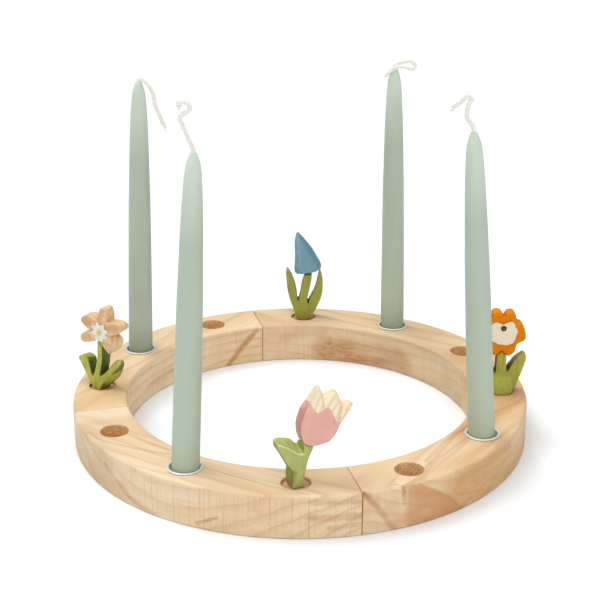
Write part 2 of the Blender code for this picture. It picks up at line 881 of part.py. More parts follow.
def add_candles() -> None:
    """The four candles, each with the lean and the curled wick of its own."""
    add_candle(
        "front_left",
        10,
        2.9,
        [
            (-1.6, 0.0, 5.5),
            (-7.3, 0.4, 20.0),
            (-9.2, 0.8, 25.6),
            (-7.6, 1.2, 28.6),
            (-3.4, 1.4, 30.8),
            (-1.6, 1.2, 33.4),
            (-3.0, 0.8, 36.2),
            (-6.6, 0.2, 37.8),
            (-9.9, -0.4, 36.8),
            (-10.2, -0.8, 34.4),
        ],
    )
    add_candle(
        "back_left",
        7,
        1.8,
        [
            (2.2, 0.3, 2.6),
            (6.0, 0.8, 0.3),
            (11.2, 1.4, -7.0),
            (13.0, 1.8, -12.5),
            (14.2, 2.0, -20.5),
            (17.4, 2.2, -29.0),
            (20.4, 2.4, -37.0),
        ],
    )
    add_candle(
        "back_right",
        4,
        -0.8,
        [
            (1.6, -0.6, 3.0),
            (7.1, -1.6, 5.0),
            (13.4, -1.4, 6.2),
            (17.8, -0.4, 4.8),
            (19.0, 1.2, 1.6),
            (16.6, 2.6, -0.4),
            (11.0, 3.4, 1.0),
            (5.4, 3.9, 2.0),
            (0.6, 4.3, 1.2),
            (-3.4, 4.0, -1.6),
            (-6.4, 3.6, -4.6),
        ],
    )
    add_candle(
        "front_right",
        1,
        -3.8,
        [
            (-1.0, 0.2, 4.6),
            (-5.6, 0.4, 11.2),
            (-6.0, 0.6, 17.6),
            (-4.9, 0.8, 22.4),
            (-3.0, 0.8, 25.6),
            (-4.6, 0.2, 28.4),
            (-8.0, -1.2, 26.8),
            (-11.2, -2.4, 22.8),
            (-14.6, -3.2, 20.4),
        ],
    )


def board(layers: Layers) -> bmesh.types.BMesh:
    """A solid through outlines at several depths, front to back; all have as many points."""
    rings = []
    for depth, outline in layers:
        rings.append([Vector((across, depth, up)) for across, up in outline])
    return capped(rings)


def add_board(name: str, layers: Layers, slot: str, rounding: float) -> bpy.types.Object:
    """A board through outlines at several depths, with its outward corners rounded."""
    bm = board(layers)
    bmesh.ops.recalc_face_normals(bm, faces=bm.faces)
    weights = bm.edges.layers.float.new("bevel_weight_edge")
    for edge in bm.edges:
        if edge.is_convex and edge.calc_face_angle() > math.radians(ROUNDED_OVER_DEG):
            edge[weights] = 1.0
    obj = add_object(name, bm, slot)
    modifier = obj.modifiers.new("Rounded corners", "BEVEL")
    modifier.width = rounding * MM
    modifier.segments = 2
    modifier.limit_method = "WEIGHT"
    return obj


def moved(outline: Outline, changes: dict[int, tuple[float, float]]) -> Outline:
    """The outline with some of its points put elsewhere."""
    return [changes.get(index, point) for index, point in enumerate(outline)]


def place_flower(pieces: list[bpy.types.Object], index: int, facing_deg: float) -> None:
    """Stand a flower's pieces in its hole, with their front, which is at -Y, turned to facing_deg."""
    for piece in pieces:
        piece.location = hole_place(index) * MM
        piece.rotation_euler = (0.0, 0.0, math.radians(facing_deg + 90.0))


def add_peg(name: str, top: float = PEG_TOP) -> bpy.types.Object:
    """The bare round foot of a flower, which fills its socket up to the top height."""
    profile = [
        (0.0, PEG_FOOT),
        (PEG_RADIUS - PEG_ROUNDING, PEG_FOOT),
        (PEG_RADIUS, PEG_FOOT + PEG_ROUNDING),
        (PEG_RADIUS, top - PEG_ROUNDING),
        (PEG_RADIUS - PEG_ROUNDING, top),
        (0.0, top),
    ]
    return add_object(name, turned(profile, PEG_SIDES), "peg_wood")


def add_scoop(name: str, centre: tuple[float, float], face: float, depth: float) -> bpy.types.Object:
    """A ball that hollows a face, which lies at -face, to a depth at (across, up) centre."""
    bm = bmesh.new()
    bmesh.ops.create_uvsphere(bm, u_segments=SCOOP_SIDES, v_segments=SCOOP_RINGS, radius=SCOOP_RADIUS * MM)
    shift = Vector((centre[0] * MM, -(face - depth + SCOOP_RADIUS) * MM, centre[1] * MM))
    turn = Matrix.Rotation(math.radians(90.0), 4, "X")
    bmesh.ops.transform(bm, matrix=Matrix.Translation(shift) @ turn, verts=bm.verts)
    return add_object(name, bm, None)


def add_dome(
    name: str,
    centre: tuple[float, float],
    face: float,
    size: tuple[float, float, float],
    slot: str,
) -> bpy.types.Object:
    """A domed dot of (half width, half height, thickness) on a face that lies at -face."""
    half_width, half_height, thickness = size
    rings = []
    for reach, rise in DOME_STEPS:
        ring = []
        for side in range(DOME_SIDES):
            angle = 2.0 * math.pi * side / DOME_SIDES
            across = centre[0] + reach * half_width * math.cos(angle)
            up = centre[1] + reach * half_height * math.sin(angle)
            ring.append(Vector((across, -(face + rise * thickness), up)))
        rings.append(ring)
    return add_object(name, capped(rings), slot)


def add_paint_cutter(name: str, edge: Outline, level: float) -> bpy.types.Object:
    """A helper between a line across the bloom and a level above or below it."""
    outline = [*edge, (edge[-1][0], level), (edge[0][0], level)]
    layers = [(-PAINT_CUTTER_HALF_DEPTH, outline), (PAINT_CUTTER_HALF_DEPTH, outline)]
    return add_object(name, board(layers), None)


def add_tulip() -> None:
    """A flat carved tulip: a pink cup, bare petal tips above a zigzag edge, and one wide leaf."""
    front = -TULIP_HALF_DEPTH
    back = TULIP_HALF_DEPTH
    stem_layers = [(front, TULIP_STEM), (back, moved(TULIP_STEM, TULIP_STEM_BACK_CHANGES))]
    stem = add_board("tulip_stem_and_leaf", stem_layers, "leaf_green", EDGE_ROUNDING)
    bloom_layers = [
        (front - TULIP_BELLY, TULIP_BLOOM),
        (back, moved(TULIP_BLOOM, TULIP_BLOOM_BACK_CHANGES)),
    ]
    above = [(across, up + SPLIT_GAP) for across, up in TULIP_PAINT_EDGE]
    upper = add_paint_cutter("tulip_above_paint", TULIP_PAINT_EDGE, PAINT_CUTTER_TOP)
    lower = add_paint_cutter("tulip_below_paint", above, 0.0)
    pieces = [stem, upper, lower, add_peg("tulip_peg")]
    for name, slot, cutter in (
        ("tulip_cup_pink", "petal_pink", upper),
        ("tulip_tips_bare", "petal_wood", lower),
    ):
        bloom = add_board(name, bloom_layers, slot, TULIP_BLOOM_ROUNDING)
        combine(bloom, cutter, "DIFFERENCE")
        pieces.append(bloom)
    place_flower(pieces, 11, TULIP_FACING_DEG)


def add_bluebell() -> None:
    """A pointed bell of knife-cut facets between two narrow leaves."""
    layers = [
        (-BLUEBELL_HALF_DEPTH, BLUEBELL_STEM),
        (BLUEBELL_HALF_DEPTH, moved(BLUEBELL_STEM, BLUEBELL_STEM_BACK_CHANGES)),
    ]
    stem = add_board("bluebell_stem_and_leaves", layers, "leaf_green", EDGE_ROUNDING)
    rings = []
    for left, right, half_depth in BELL_SECTIONS:
        middle = Vector((0.5 * (left[0] + right[0]), 0.0, 0.5 * (left[1] + right[1])))
        half = Vector((0.5 * (right[0] - left[0]), 0.0, 0.5 * (right[1] - left[1])))
        ring = []
        for facet_deg in BELL_FACETS_DEG:
            angle = math.radians(facet_deg)
            forward = Vector((0.0, -half_depth * math.sin(angle), 0.0))
            ring.append(middle + half * math.cos(angle) + forward)
        rings.append(ring)
    bell = add_object("bluebell_bell", capped(rings), "bell_blue", BELL_SHARP_DEG)
    place_flower([stem, bell, add_peg("bluebell_peg")], 5, BLUEBELL_FACING_DEG)


def star_outline() -> Outline:
    """A star of five blunt points round the bloom's centre."""
    points = []
    for number, (direction_deg, length) in enumerate(STAR_POINTS):
        for turn_deg, share in STAR_POINT_STEPS:
            angle = math.radians(direction_deg + turn_deg)
            points.append((length * share * math.cos(angle), length * share * math.sin(angle)))
        following = STAR_POINTS[(number + 1) % len(STAR_POINTS)][0]
        gap = (following - direction_deg) % 360.0
        angle = math.radians(direction_deg + 0.5 * gap)
        points.append((STAR_NOTCH_RADIUS * math.cos(angle), STAR_NOTCH_RADIUS * math.sin(angle)))
    return [(DAFFODIL_CENTRE[0] + across, DAFFODIL_CENTRE[1] + up) for across, up in points]


def painted(outline: Outline, front: float) -> Layers:
    """Layers of a thin painted shape just in front of a face at depth front."""
    near = front - FIT_GAP
    return [(near - PAINT_THICKNESS, outline), (near, outline)]


def add_daffodil() -> None:
    """Five thick bare petals with scooped fronts, a white star and a yellow centre, and two wide leaves."""
    front = -DAFFODIL_HALF_DEPTH
    back = DAFFODIL_HALF_DEPTH
    stem_layers = [
        (front, DAFFODIL_STEM),
        (0.0, moved(DAFFODIL_STEM, DAFFODIL_LEAF_MIDDLE_CHANGES)),
        (back, moved(DAFFODIL_STEM, DAFFODIL_LEAF_BACK_CHANGES)),
    ]
    stem = add_board("daffodil_stem_and_leaves", stem_layers, "leaf_green", EDGE_ROUNDING)
    bloom_layers = [
        (front, DAFFODIL_BLOOM),
        (back, moved(DAFFODIL_BLOOM, DAFFODIL_BLOOM_BACK_CHANGES)),
    ]
    bloom = add_board("daffodil_petals", bloom_layers, "daffodil_wood", DAFFODIL_BLOOM_ROUNDING)
    pieces = [stem, bloom, add_peg("daffodil_peg")]
    for number, (centre, depth) in enumerate(DAFFODIL_SCOOPS):
        scoop = add_scoop(f"daffodil_scoop_{number}", centre, DAFFODIL_HALF_DEPTH, depth)
        combine(bloom, scoop, "DIFFERENCE")
        pieces.append(scoop)
    star = add_object("daffodil_star", board(painted(star_outline(), front)), "star_white")
    pieces.append(star)
    star_face = DAFFODIL_HALF_DEPTH + 2.0 * FIT_GAP + PAINT_THICKNESS
    centre = add_dome(
        "daffodil_centre", DAFFODIL_CENTRE, star_face, DAFFODIL_CENTRE_SIZE, "centre_yellow"
    )
    pieces.append(centre)
    place_flower(pieces, 8, DAFFODIL_FACING_DEG)


def add_foot(name: str) -> bpy.types.Object:
    """A helper: the pansy's thick foot, squarer than an ellipse, which joins its stem."""
    rings = []
    for height, half_width, half_depth in PANSY_FOOT:
        ring = []
        for side in range(PANSY_FOOT_SIDES):
            angle = 2.0 * math.pi * (side + 0.5) / PANSY_FOOT_SIDES
            across = math.copysign(abs(math.cos(angle)) ** PANSY_FOOT_SQUARENESS, math.cos(angle))
            depth = math.copysign(abs(math.sin(angle)) ** PANSY_FOOT_SQUARENESS, math.sin(angle))
            ring.append(Vector((half_width * across, half_depth * depth, height)))
        rings.append(ring)
    return add_object(name, capped(rings), None)


def add_pansy() -> None:
    """An orange pansy with a cream face and a brown eye, on a thick foot between two leaves."""
    front = -PANSY_HALF_DEPTH
    back = PANSY_HALF_DEPTH
    stem_layers = [(front, PANSY_STEM), (back, moved(PANSY_STEM, PANSY_STEM_BACK_CHANGES))]
    stem = add_board("pansy_stem_and_leaves", stem_layers, "leaf_green", EDGE_ROUNDING)
    foot = add_foot("pansy_foot")
    combine(stem, foot, "UNION")
    bloom_layers = [(front, PANSY_BLOOM), (back, PANSY_BLOOM)]
    bloom = add_board("pansy_petals", bloom_layers, "pansy_orange", PANSY_BLOOM_ROUNDING)
    face = add_object("pansy_face", board(painted(PANSY_FACE, front)), "face_cream")
    face_front = PANSY_HALF_DEPTH + 2.0 * FIT_GAP + PAINT_THICKNESS
    eye = add_dome("pansy_eye", PANSY_EYE, face_front, PANSY_EYE_SIZE, "eye_brown")
    peg = add_peg("pansy_peg", PANSY_PEG_TOP)
    place_flower([stem, foot, bloom, face, eye, peg], 2, PANSY_FACING_DEG)


def main() -> None:
    """Build the whole candle ring."""
    clear_scene()
    add_ring()
    add_candles()
    add_tulip()
    add_bluebell()
    add_daffodil()
    add_pansy()


main()
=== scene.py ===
"""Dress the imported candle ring: pine quarters, tin cups, dipped candles, cotton wicks and carved flowers.

Sizes are in millimetres, as the fields of the classes say, and become metres where a mesh is made. Heights of
what stands on the ring count from the ring's top face.
"""

import logging
import math
import random
from collections.abc import Callable, Iterator
from contextlib import contextmanager
from dataclasses import dataclass, field
from enum import Enum

import bmesh
import bpy
from mathutils import Matrix, Vector


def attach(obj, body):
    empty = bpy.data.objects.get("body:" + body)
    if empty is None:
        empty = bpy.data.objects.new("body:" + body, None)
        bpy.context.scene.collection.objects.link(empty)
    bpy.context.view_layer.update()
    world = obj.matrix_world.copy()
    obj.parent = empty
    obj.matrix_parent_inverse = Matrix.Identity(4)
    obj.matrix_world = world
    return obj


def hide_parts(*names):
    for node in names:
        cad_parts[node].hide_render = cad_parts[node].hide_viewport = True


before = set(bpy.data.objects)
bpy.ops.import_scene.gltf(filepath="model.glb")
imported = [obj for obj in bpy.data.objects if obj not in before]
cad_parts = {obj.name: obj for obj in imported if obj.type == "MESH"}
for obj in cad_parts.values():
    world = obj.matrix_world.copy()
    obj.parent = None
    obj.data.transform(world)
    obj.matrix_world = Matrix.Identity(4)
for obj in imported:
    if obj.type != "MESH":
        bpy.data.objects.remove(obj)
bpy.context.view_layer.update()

MM = 0.001
UP = Vector((0.0, 0.0, 1.0))
BODY = "root"
RING_TOP = 37.0
OUTER_RADIUS = 200.0
INNER_RADIUS = 153.0
HOLE_CIRCLE = 177.0
HOLE_SPACING_DEG = 30.0
FIRST_HOLE_DEG = -75.0
HOLES_PER_QUARTER = 3
SOCKET_RADIUS = 11.85
BORE_RADIUS = 13.55
TORN_HOLE_FLECKS = 0.85
PEG_TOP = -2.6
ROUND_ALL_DEG = 180.0
LOG = logging.getLogger("candle_ring")

Colour = tuple[float, float, float]
Point = tuple[float, float, float]
Profile = list[tuple[float, float]]
Socket = bpy.types.NodeSocket


class Axis(Enum):
    """The three parts of a place; in a plank they run along it, across it and through it."""

    X = 0
    Y = 1
    HEIGHT = 2


def linear(red: int, green: int, blue: int) -> Colour:
    """A colour as seen on a screen, turned into the light that a shader works with.

    Args:
        red, green, blue: The colour, each from 0 to 255.

    Returns:
        The linear colour, each part from 0 to 1.
    """
    return tuple(
        part / 12.92 / 255 if part <= 10 else ((part / 255 + 0.055) / 1.055) ** 2.4
        for part in (red, green, blue)
    )


def scaled(colour: Colour, share: float) -> Colour:
    """A colour made darker or lighter, but no lighter than white."""
    return tuple(min(1.0, share * part) for part in colour)


def hole_place(index: int, drift_deg: float = 0.0) -> Vector:
    """Centre of a hole in the ring's top face.

    Args:
        index: The hole's number, counted anticlockwise from above.
        drift_deg: How far the drilled hole sits from its even spacing.

    Returns:
        The place in millimetres.
    """
    angle = math.radians(FIRST_HOLE_DEG + HOLE_SPACING_DEG * index + drift_deg)
    return Vector((HOLE_CIRCLE * math.cos(angle), HOLE_CIRCLE * math.sin(angle), RING_TOP))


def on_top(*points: tuple[float, float]) -> tuple[Point, ...]:
    """A path over the ring's top face, through (x, y) points in millimetres."""
    return tuple((x, y, RING_TOP) for x, y in points)


PINE_PALE = linear(236, 215, 181)
PINE_WARM = linear(230, 200, 158)
PINE_LATE = linear(204, 160, 112)
PINE_BROWN = linear(180, 128, 86)
STAIN_BROWN = linear(190, 142, 100)


# Workshop: selecting, shaping and finishing


class Bench:
    """The maker's bench: short ways to use Blender's own tools on one piece at a time."""

    @staticmethod
    def clear() -> None:
        """Deselect everything."""
        for obj in bpy.context.selected_objects:
            obj.select_set(False)

    @staticmethod
    def hold(*objs: bpy.types.Object) -> None:
        """Select these pieces alone; the first is the active one."""
        Bench.clear()
        for obj in objs:
            obj.select_set(True)
        bpy.context.view_layer.objects.active = objs[0]

    @staticmethod
    @contextmanager
    def editing(obj: bpy.types.Object) -> Iterator[None]:
        """Open the piece's mesh for editing, with all of it selected, and close it afterwards."""
        Bench.hold(obj)
        bpy.ops.object.mode_set(mode="EDIT")
        bpy.ops.mesh.select_all(action="SELECT")
        yield
        bpy.ops.object.mode_set(mode="OBJECT")

    @staticmethod
    def settle(obj: bpy.types.Object) -> None:
        """Move the piece's place, turn and size into its mesh."""
        Bench.hold(obj)
        bpy.ops.object.transform_apply(location=True, rotation=True, scale=True)

    @staticmethod
    def apply(obj: bpy.types.Object, kind: str, **settings: object) -> None:
        """Add a modifier and apply it.

        Args:
            obj: The piece.
            kind: The modifier's type.
            settings: The modifier's fields.
        """
        Bench.hold(obj)
        modifier = obj.modifiers.new(kind.title(), kind)
        for name, value in settings.items():
            setattr(modifier, name, value)
        bpy.ops.object.modifier_apply(modifier=modifier.name)

    @staticmethod
    def push(obj: bpy.types.Object, texture: bpy.types.Texture, depth: float, middle: float = 0.5) -> None:
        """Push the surface in and out by a texture, by a depth in millimetres."""
        Bench.apply(
            obj, "DISPLACE", texture=texture, strength=depth * MM, mid_level=middle, texture_coords="LOCAL"
        )

    @staticmethod
    def cut(obj: bpy.types.Object, cutter: bpy.types.Object, operation: str = "DIFFERENCE") -> None:
        """Combine the piece with a cutter, which is then thrown away."""
        Bench.apply(obj, "BOOLEAN", operation=operation, solver="EXACT", object=cutter)
        bpy.data.objects.remove(cutter, do_unlink=True)

    @staticmethod
    def pick(obj: bpy.types.Object, kind: str, wanted: Callable[[object], bool]) -> int:
        """In edit mode, select the points, edges or faces that pass a test.

        Args:
            obj: The piece that is being edited.
            kind: "verts", "edges" or "faces".
            wanted: The test.

        Returns:
            How many were selected.
        """
        mode = {"verts": "VERT", "edges": "EDGE", "faces": "FACE"}[kind]
        bpy.ops.mesh.select_mode(type=mode)
        bpy.ops.mesh.select_all(action="DESELECT")
        shape = bmesh.from_edit_mesh(obj.data)
        count = 0
        for element in getattr(shape, kind):
            if wanted(element):
                element.select_set(True)
                count += 1
        shape.select_flush_mode()
        bmesh.update_edit_mesh(obj.data)
        return count

    @staticmethod
    def face_outwards(obj: bpy.types.Object) -> None:
        """Merge doubled points and point every face outwards."""
        with Bench.editing(obj):
            bpy.ops.mesh.remove_doubles(threshold=1e-6)
            bpy.ops.mesh.normals_make_consistent(inside=False)

    @staticmethod
    def smooth(obj: bpy.types.Object, sharp_deg: float = 35.0) -> None:
        """Shade the piece smooth but for its sharp edges."""
        Bench.hold(obj)
        bpy.ops.object.shade_smooth_by_angle(angle=math.radians(sharp_deg))

    @staticmethod
    def turn_up(
        name: str, profile: Profile, sides: int, place: Vector, tilt: Matrix | None = None
    ) -> bpy.types.Object:
        """Raise a turned solid from a disc, ring by ring, as on a lathe.

        Args:
            name: The piece's name.
            profile: (radius, height) points from the first disc to the last.
            sides: How many sides the rings have.
            place: Where the profile's origin stands.
            tilt: How the turned shape is turned about that origin.

        Returns:
            The piece, with its place in its mesh.
        """
        Bench.clear()
        radius, height = profile[0]
        bpy.ops.mesh.primitive_circle_add(
            vertices=sides, radius=radius * MM, fill_type="NGON", location=(0.0, 0.0, height * MM)
        )
        obj = bpy.context.object
        obj.name = obj.data.name = name
        Bench.settle(obj)
        with Bench.editing(obj):
            for new_radius, new_height in profile[1:]:
                rise = (0.0, 0.0, (new_height - height) * MM)
                bpy.ops.mesh.extrude_region_move(TRANSFORM_OT_translate={"value": rise})
                share = new_radius / radius
                bpy.ops.transform.resize(value=(share, share, 1.0), center_override=(0.0, 0.0, new_height * MM))
                radius, height = new_radius, new_height
        Bench.face_outwards(obj)
        obj.matrix_world = Matrix.Translation(place * MM) @ (tilt or Matrix.Identity(4))
        Bench.settle(obj)
        return obj

    @staticmethod
    def fit(obj: bpy.types.Object, material: bpy.types.Material, slot: str, *nodes: str) -> None:
        """Finish a piece: give it its material, hide the CAD nodes that it stands for and put it on the ring.

        Args:
            obj: The piece.
            material: Its finish.
            slot: The record's material slot; not used.
            nodes: The CAD nodes that it stands for.
        """
        obj.data.materials.clear()
        obj.data.materials.append(material)
        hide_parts(*nodes)
        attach(obj, BODY)
        LOG.info("%s: %d faces", obj.name, len(obj.data.polygons))


# Finishes


class Graph:
    """A material's node tree, with short ways to add nodes to it."""

    def __init__(self, name: str) -> None:
        """Start an empty material with a Principled shader."""
        self.material = bpy.data.materials.new(name)
        self.material.use_nodes = True
        self.tree = self.material.node_tree
        self.shader = self.tree.nodes["Principled BSDF"]
        self.place = self.node("ShaderNodeTexCoord").outputs["Object"]

    def node(self, kind: str, **settings: object) -> bpy.types.Node:
        """Add a node and set its fields."""
        node = self.tree.nodes.new(kind)
        for name, value in settings.items():
            setattr(node, name, value)
        return node

    def put(self, socket: Socket, value: object) -> None:
        """Link a socket or set it, as the value is a socket or a number."""
        if isinstance(value, bpy.types.NodeSocket):
            self.tree.links.new(value, socket)
        else:
            socket.default_value = value

    def math(self, operation: str, first: object, second: object = 0.0, clamp: bool = False) -> Socket:
        """A sum of two numbers."""
        node = self.node("ShaderNodeMath", operation=operation, use_clamp=clamp)
        self.put(node.inputs[0], first)
        self.put(node.inputs[1], second)
        return node.outputs[0]

    def times(self, *values: object) -> Socket:
        """These numbers multiplied together."""
        total = values[0]
        for value in values[1:]:
            total = self.math("MULTIPLY", total, value)
        return total

    def plus(self, first: object, second: object) -> Socket:
        """The sum of two numbers."""
        return self.math("ADD", first, second)

    def minus(self, first: object, second: object) -> Socket:
        """The first number less the second."""
        return self.math("SUBTRACT", first, second)

    def vector(
        self, operation: str, first: object, second: object = (0.0, 0.0, 0.0), scale: object = 1.0
    ) -> Socket:
        """A sum of two vectors; a length or a dot product comes back as a number."""
        node = self.node("ShaderNodeVectorMath", operation=operation)
        self.put(node.inputs[0], first)
        self.put(node.inputs[1], second)
        self.put(node.inputs[3], scale)
        return node.outputs["Value" if operation in ("LENGTH", "DOT_PRODUCT") else "Vector"]

    def part(self, source: Socket, axis: Axis) -> Socket:
        """One of the three parts of a vector."""
        split = self.node("ShaderNodeSeparateXYZ")
        self.put(split.inputs[0], source)
        return split.outputs[axis.value]

    def flat_length(self, source: Socket) -> Socket:
        """A vector's length as seen from above."""
        return self.vector("LENGTH", self.vector("MULTIPLY", source, (1.0, 1.0, 0.0)))

    def normal(self) -> Socket:
        """The direction that the surface faces."""
        return self.node("ShaderNodeNewGeometry").outputs["Normal"]

    def mapping(
        self, source: Socket, shift: Point = (0, 0, 0), turn_deg: Point = (0, 0, 0), scale: Point = (1, 1, 1)
    ) -> Socket:
        """The place, stretched, turned and shifted."""
        node = self.node("ShaderNodeMapping")
        self.put(node.inputs["Vector"], source)
        node.inputs["Location"].default_value = shift
        node.inputs["Rotation"].default_value = [math.radians(part) for part in turn_deg]
        node.inputs["Scale"].default_value = scale
        return node.outputs[0]

    def noise(
        self, source: Socket, scale: float, detail: float = 2.0, rough: float = 0.5, distortion: float = 0.0
    ) -> Socket:
        """Cloudy numbers round a half."""
        node = self.node("ShaderNodeTexNoise")
        self.put(node.inputs["Vector"], source)
        settings = {"Scale": scale, "Detail": detail, "Roughness": rough, "Distortion": distortion}
        for name, value in settings.items():
            node.inputs[name].default_value = value
        return node.outputs["Fac"]

    def stray(self, scale: float, reach: float) -> Socket:
        """A wandering number, up to half the reach to either side of nought; the reach is in millimetres."""
        return self.times(self.minus(self.noise(self.place, scale, 3.0), 0.5), reach * MM)

    def spread(
        self, value: Socket, low: float, high: float,
        new_low: float = 0.0, new_high: float = 1.0, kind: str = "SMOOTHSTEP",
    ) -> Socket:
        """A number's range, stretched to a new one and kept inside it."""
        node = self.node("ShaderNodeMapRange", clamp=True, interpolation_type=kind)
        for socket, number in zip(node.inputs, (value, low, high, new_low, new_high)):
            self.put(socket, number)
        return node.outputs[0]

    def ramp(self, value: Socket, *stops: tuple[float, Colour]) -> Socket:
        """Colours along a number."""
        node = self.node("ShaderNodeValToRGB")
        self.put(node.inputs[0], value)
        elements = node.color_ramp.elements
        while len(elements) < len(stops):
            elements.new(0.5)
        for element, (place, colour) in zip(elements, stops):
            element.position = place
            element.color = (*colour, 1.0)
        return node.outputs["Color"]

    def mix(self, share: object, first: object, second: object, blend: str = "MIX") -> Socket:
        """Two colours mixed; a plain colour is given as three numbers."""
        node = self.node("ShaderNodeMix", data_type="RGBA", blend_type=blend, clamp_factor=True)
        self.put(node.inputs[0], share)
        for socket, colour in ((node.inputs[6], first), (node.inputs[7], second)):
            self.put(socket, colour if isinstance(colour, bpy.types.NodeSocket) else (*colour, 1.0))
        return node.outputs[2]

    def bump(self, height: Socket, depth: float, below: Socket | None = None) -> Socket:
        """Relief of a depth in millimetres."""
        node = self.node("ShaderNodeBump")
        self.put(node.inputs["Height"], height)
        node.inputs["Distance"].default_value = depth * MM
        if below is not None:
            self.put(node.inputs["Normal"], below)
        return node.outputs[0]

    def edges(self, low: float, high: float) -> Socket:
        """Where the surface bulges, from 0 to 1."""
        return self.spread(self.node("ShaderNodeNewGeometry").outputs["Pointiness"], low, high)

    def near_line(self, start: Point, end: Point, width: float, soft: float, wander: float = 0.0) -> Socket:
        """1 near the line between two places in millimetres, 0 away from it.

        Args:
            start, end: The line's ends.
            width: Half the width of the full mark.
            soft: How far it fades beyond that.
            wander: How far its edge strays.

        Returns:
            The mark's strength.
        """
        first, last = Vector(start) * MM, Vector(end) * MM
        line = last - first
        offset = self.vector("SUBTRACT", self.place, tuple(first))
        reached = self.vector("DOT_PRODUCT", offset, tuple(line))
        share = self.math("MULTIPLY", reached, 1.0 / line.length_squared, clamp=True)
        foot = self.vector("SCALE", tuple(line), scale=share)
        away = self.vector("LENGTH", self.vector("SUBTRACT", offset, foot))
        if wander:
            away = self.plus(away, self.stray(90.0, 2.0 * wander))
        return self.spread(away, width * MM, (width + soft) * MM, 1.0, 0.0)

    def finish(
        self, colour: Socket, roughness: object, normal: Socket | None = None, **constants: object
    ) -> bpy.types.Material:
        """Link the shader's inputs and return the material.

        Args:
            colour: The base colour.
            roughness: The roughness, linked or plain.
            normal: The relief.
            constants: Further shader inputs by name, with _ for a space.

        Returns:
            The material.
        """
        self.put(self.shader.inputs["Base Color"], colour)
        self.put(self.shader.inputs["Roughness"], roughness)
        if normal is not None:
            self.put(self.shader.inputs["Normal"], normal)
        for name, value in constants.items():
            self.shader.inputs[name.replace("_", " ")].default_value = value
        return self.material


class SkyGraph(Graph):
    """The surroundings' node tree, with the same short ways."""

    def __init__(self, name: str) -> None:
        """Start the surroundings; a place in them is a direction."""
        self.world = bpy.data.worlds.new(name)
        self.world.use_nodes = True
        self.tree = self.world.node_tree
        self.background = self.tree.nodes["Background"]
        self.place = self.node("ShaderNodeTexCoord").outputs["Generated"]


@dataclass(frozen=True)
class Stain:
    """A mark in the surface, along a path through places in millimetres."""

    path: tuple[Point, ...]
    width: float
    soft: float
    strength: float
    colour: Colour
    wander: float = 2.0

    def mask(self, graph: Graph) -> Socket:
        """How strongly the mark shows at a place."""
        share = None
        for start, end in zip(self.path, self.path[1:]):
            near = graph.near_line(start, end, self.width, self.soft, self.wander)
            share = near if share is None else graph.math("MAXIMUM", share, near)
        return graph.times(share, self.strength)


@dataclass(frozen=True)
class Patch:
    """A darker part of the outer wall, right of its first point and under a line of (x, height) points."""

    edge: Profile
    colour: Colour
    strength: float
    soft: float = 1.2
    wander: float = 3.0
    least_radius: float = 185.0
    radius_soft: float = 8.0

    def mask(self, graph: Graph) -> Socket:
        """How strongly the patch shows at a place."""
        first, last = self.edge[0][0], self.edge[-1][0]
        along = graph.plus(graph.part(graph.place, Axis.X), graph.stray(70.0, self.wander))
        share = graph.spread(along, first * MM, last * MM, kind="LINEAR")
        stops = [((x - first) / (last - first), (height / RING_TOP,) * 3) for x, height in self.edge]
        limit = graph.times(graph.ramp(share, *stops), RING_TOP * MM)
        room = graph.minus(limit, graph.part(graph.place, Axis.HEIGHT))
        under = graph.spread(room, 0.0, self.soft * MM)
        right = graph.spread(along, (first - self.soft) * MM, (first + 5.0 * self.soft) * MM)
        least, most = self.least_radius * MM, (self.least_radius + self.radius_soft) * MM
        outside = graph.spread(graph.flat_length(graph.place), least, most)
        return graph.times(under, right, outside, self.strength)


@dataclass(frozen=True)
class Drilled:
    """A drilled hole, whose wall shows darker end grain, brightened with painted light so the hole looks lit,
    and flecks where the drill tore it.
    """

    place: Point
    radius: float
    flecks: float = 0.0
    # the wall's end grain orange, made far paler than real end grain as painted light on the hole's lit wall
    colour: Colour = linear(240, 194, 131)

    def mask(self, graph: Graph) -> Socket:
        """1 inside the hole, 0 elsewhere."""
        offset = graph.vector("SUBTRACT", graph.place, tuple(part * MM for part in self.place))
        away = graph.flat_length(offset)
        near = graph.spread(away, (self.radius + 0.2) * MM, (self.radius + 0.9) * MM, 1.0, 0.0)
        below_edge = graph.spread(graph.part(offset, Axis.HEIGHT), -2.0 * MM, -0.4 * MM, 1.0, 0.0)
        return graph.times(near, below_edge)

    def end_grain_with_painted_light(self, graph: Graph, pale: Colour) -> Socket:
        """The hole's torn end grain, in colours brightened with painted light, flecked with the board's pale
        colour.
        """
        torn = graph.noise(graph.mapping(graph.place, scale=(0.25, 1.0, 0.7)), 700.0, 3.0, 0.6)
        colour = graph.ramp(torn, (0.4, self.colour), (0.6, scaled(self.colour, 0.7)), (0.74, pale))
        if self.flecks:
            chips = graph.noise(graph.place, 1100.0, 1.0)
            for low, high, fleck in ((0.52, 0.6, pale), (0.4, 0.33, scaled(self.colour, 0.3))):
                colour = graph.mix(graph.spread(chips, low, high, 0.0, self.flecks), colour, fleck)
        return colour


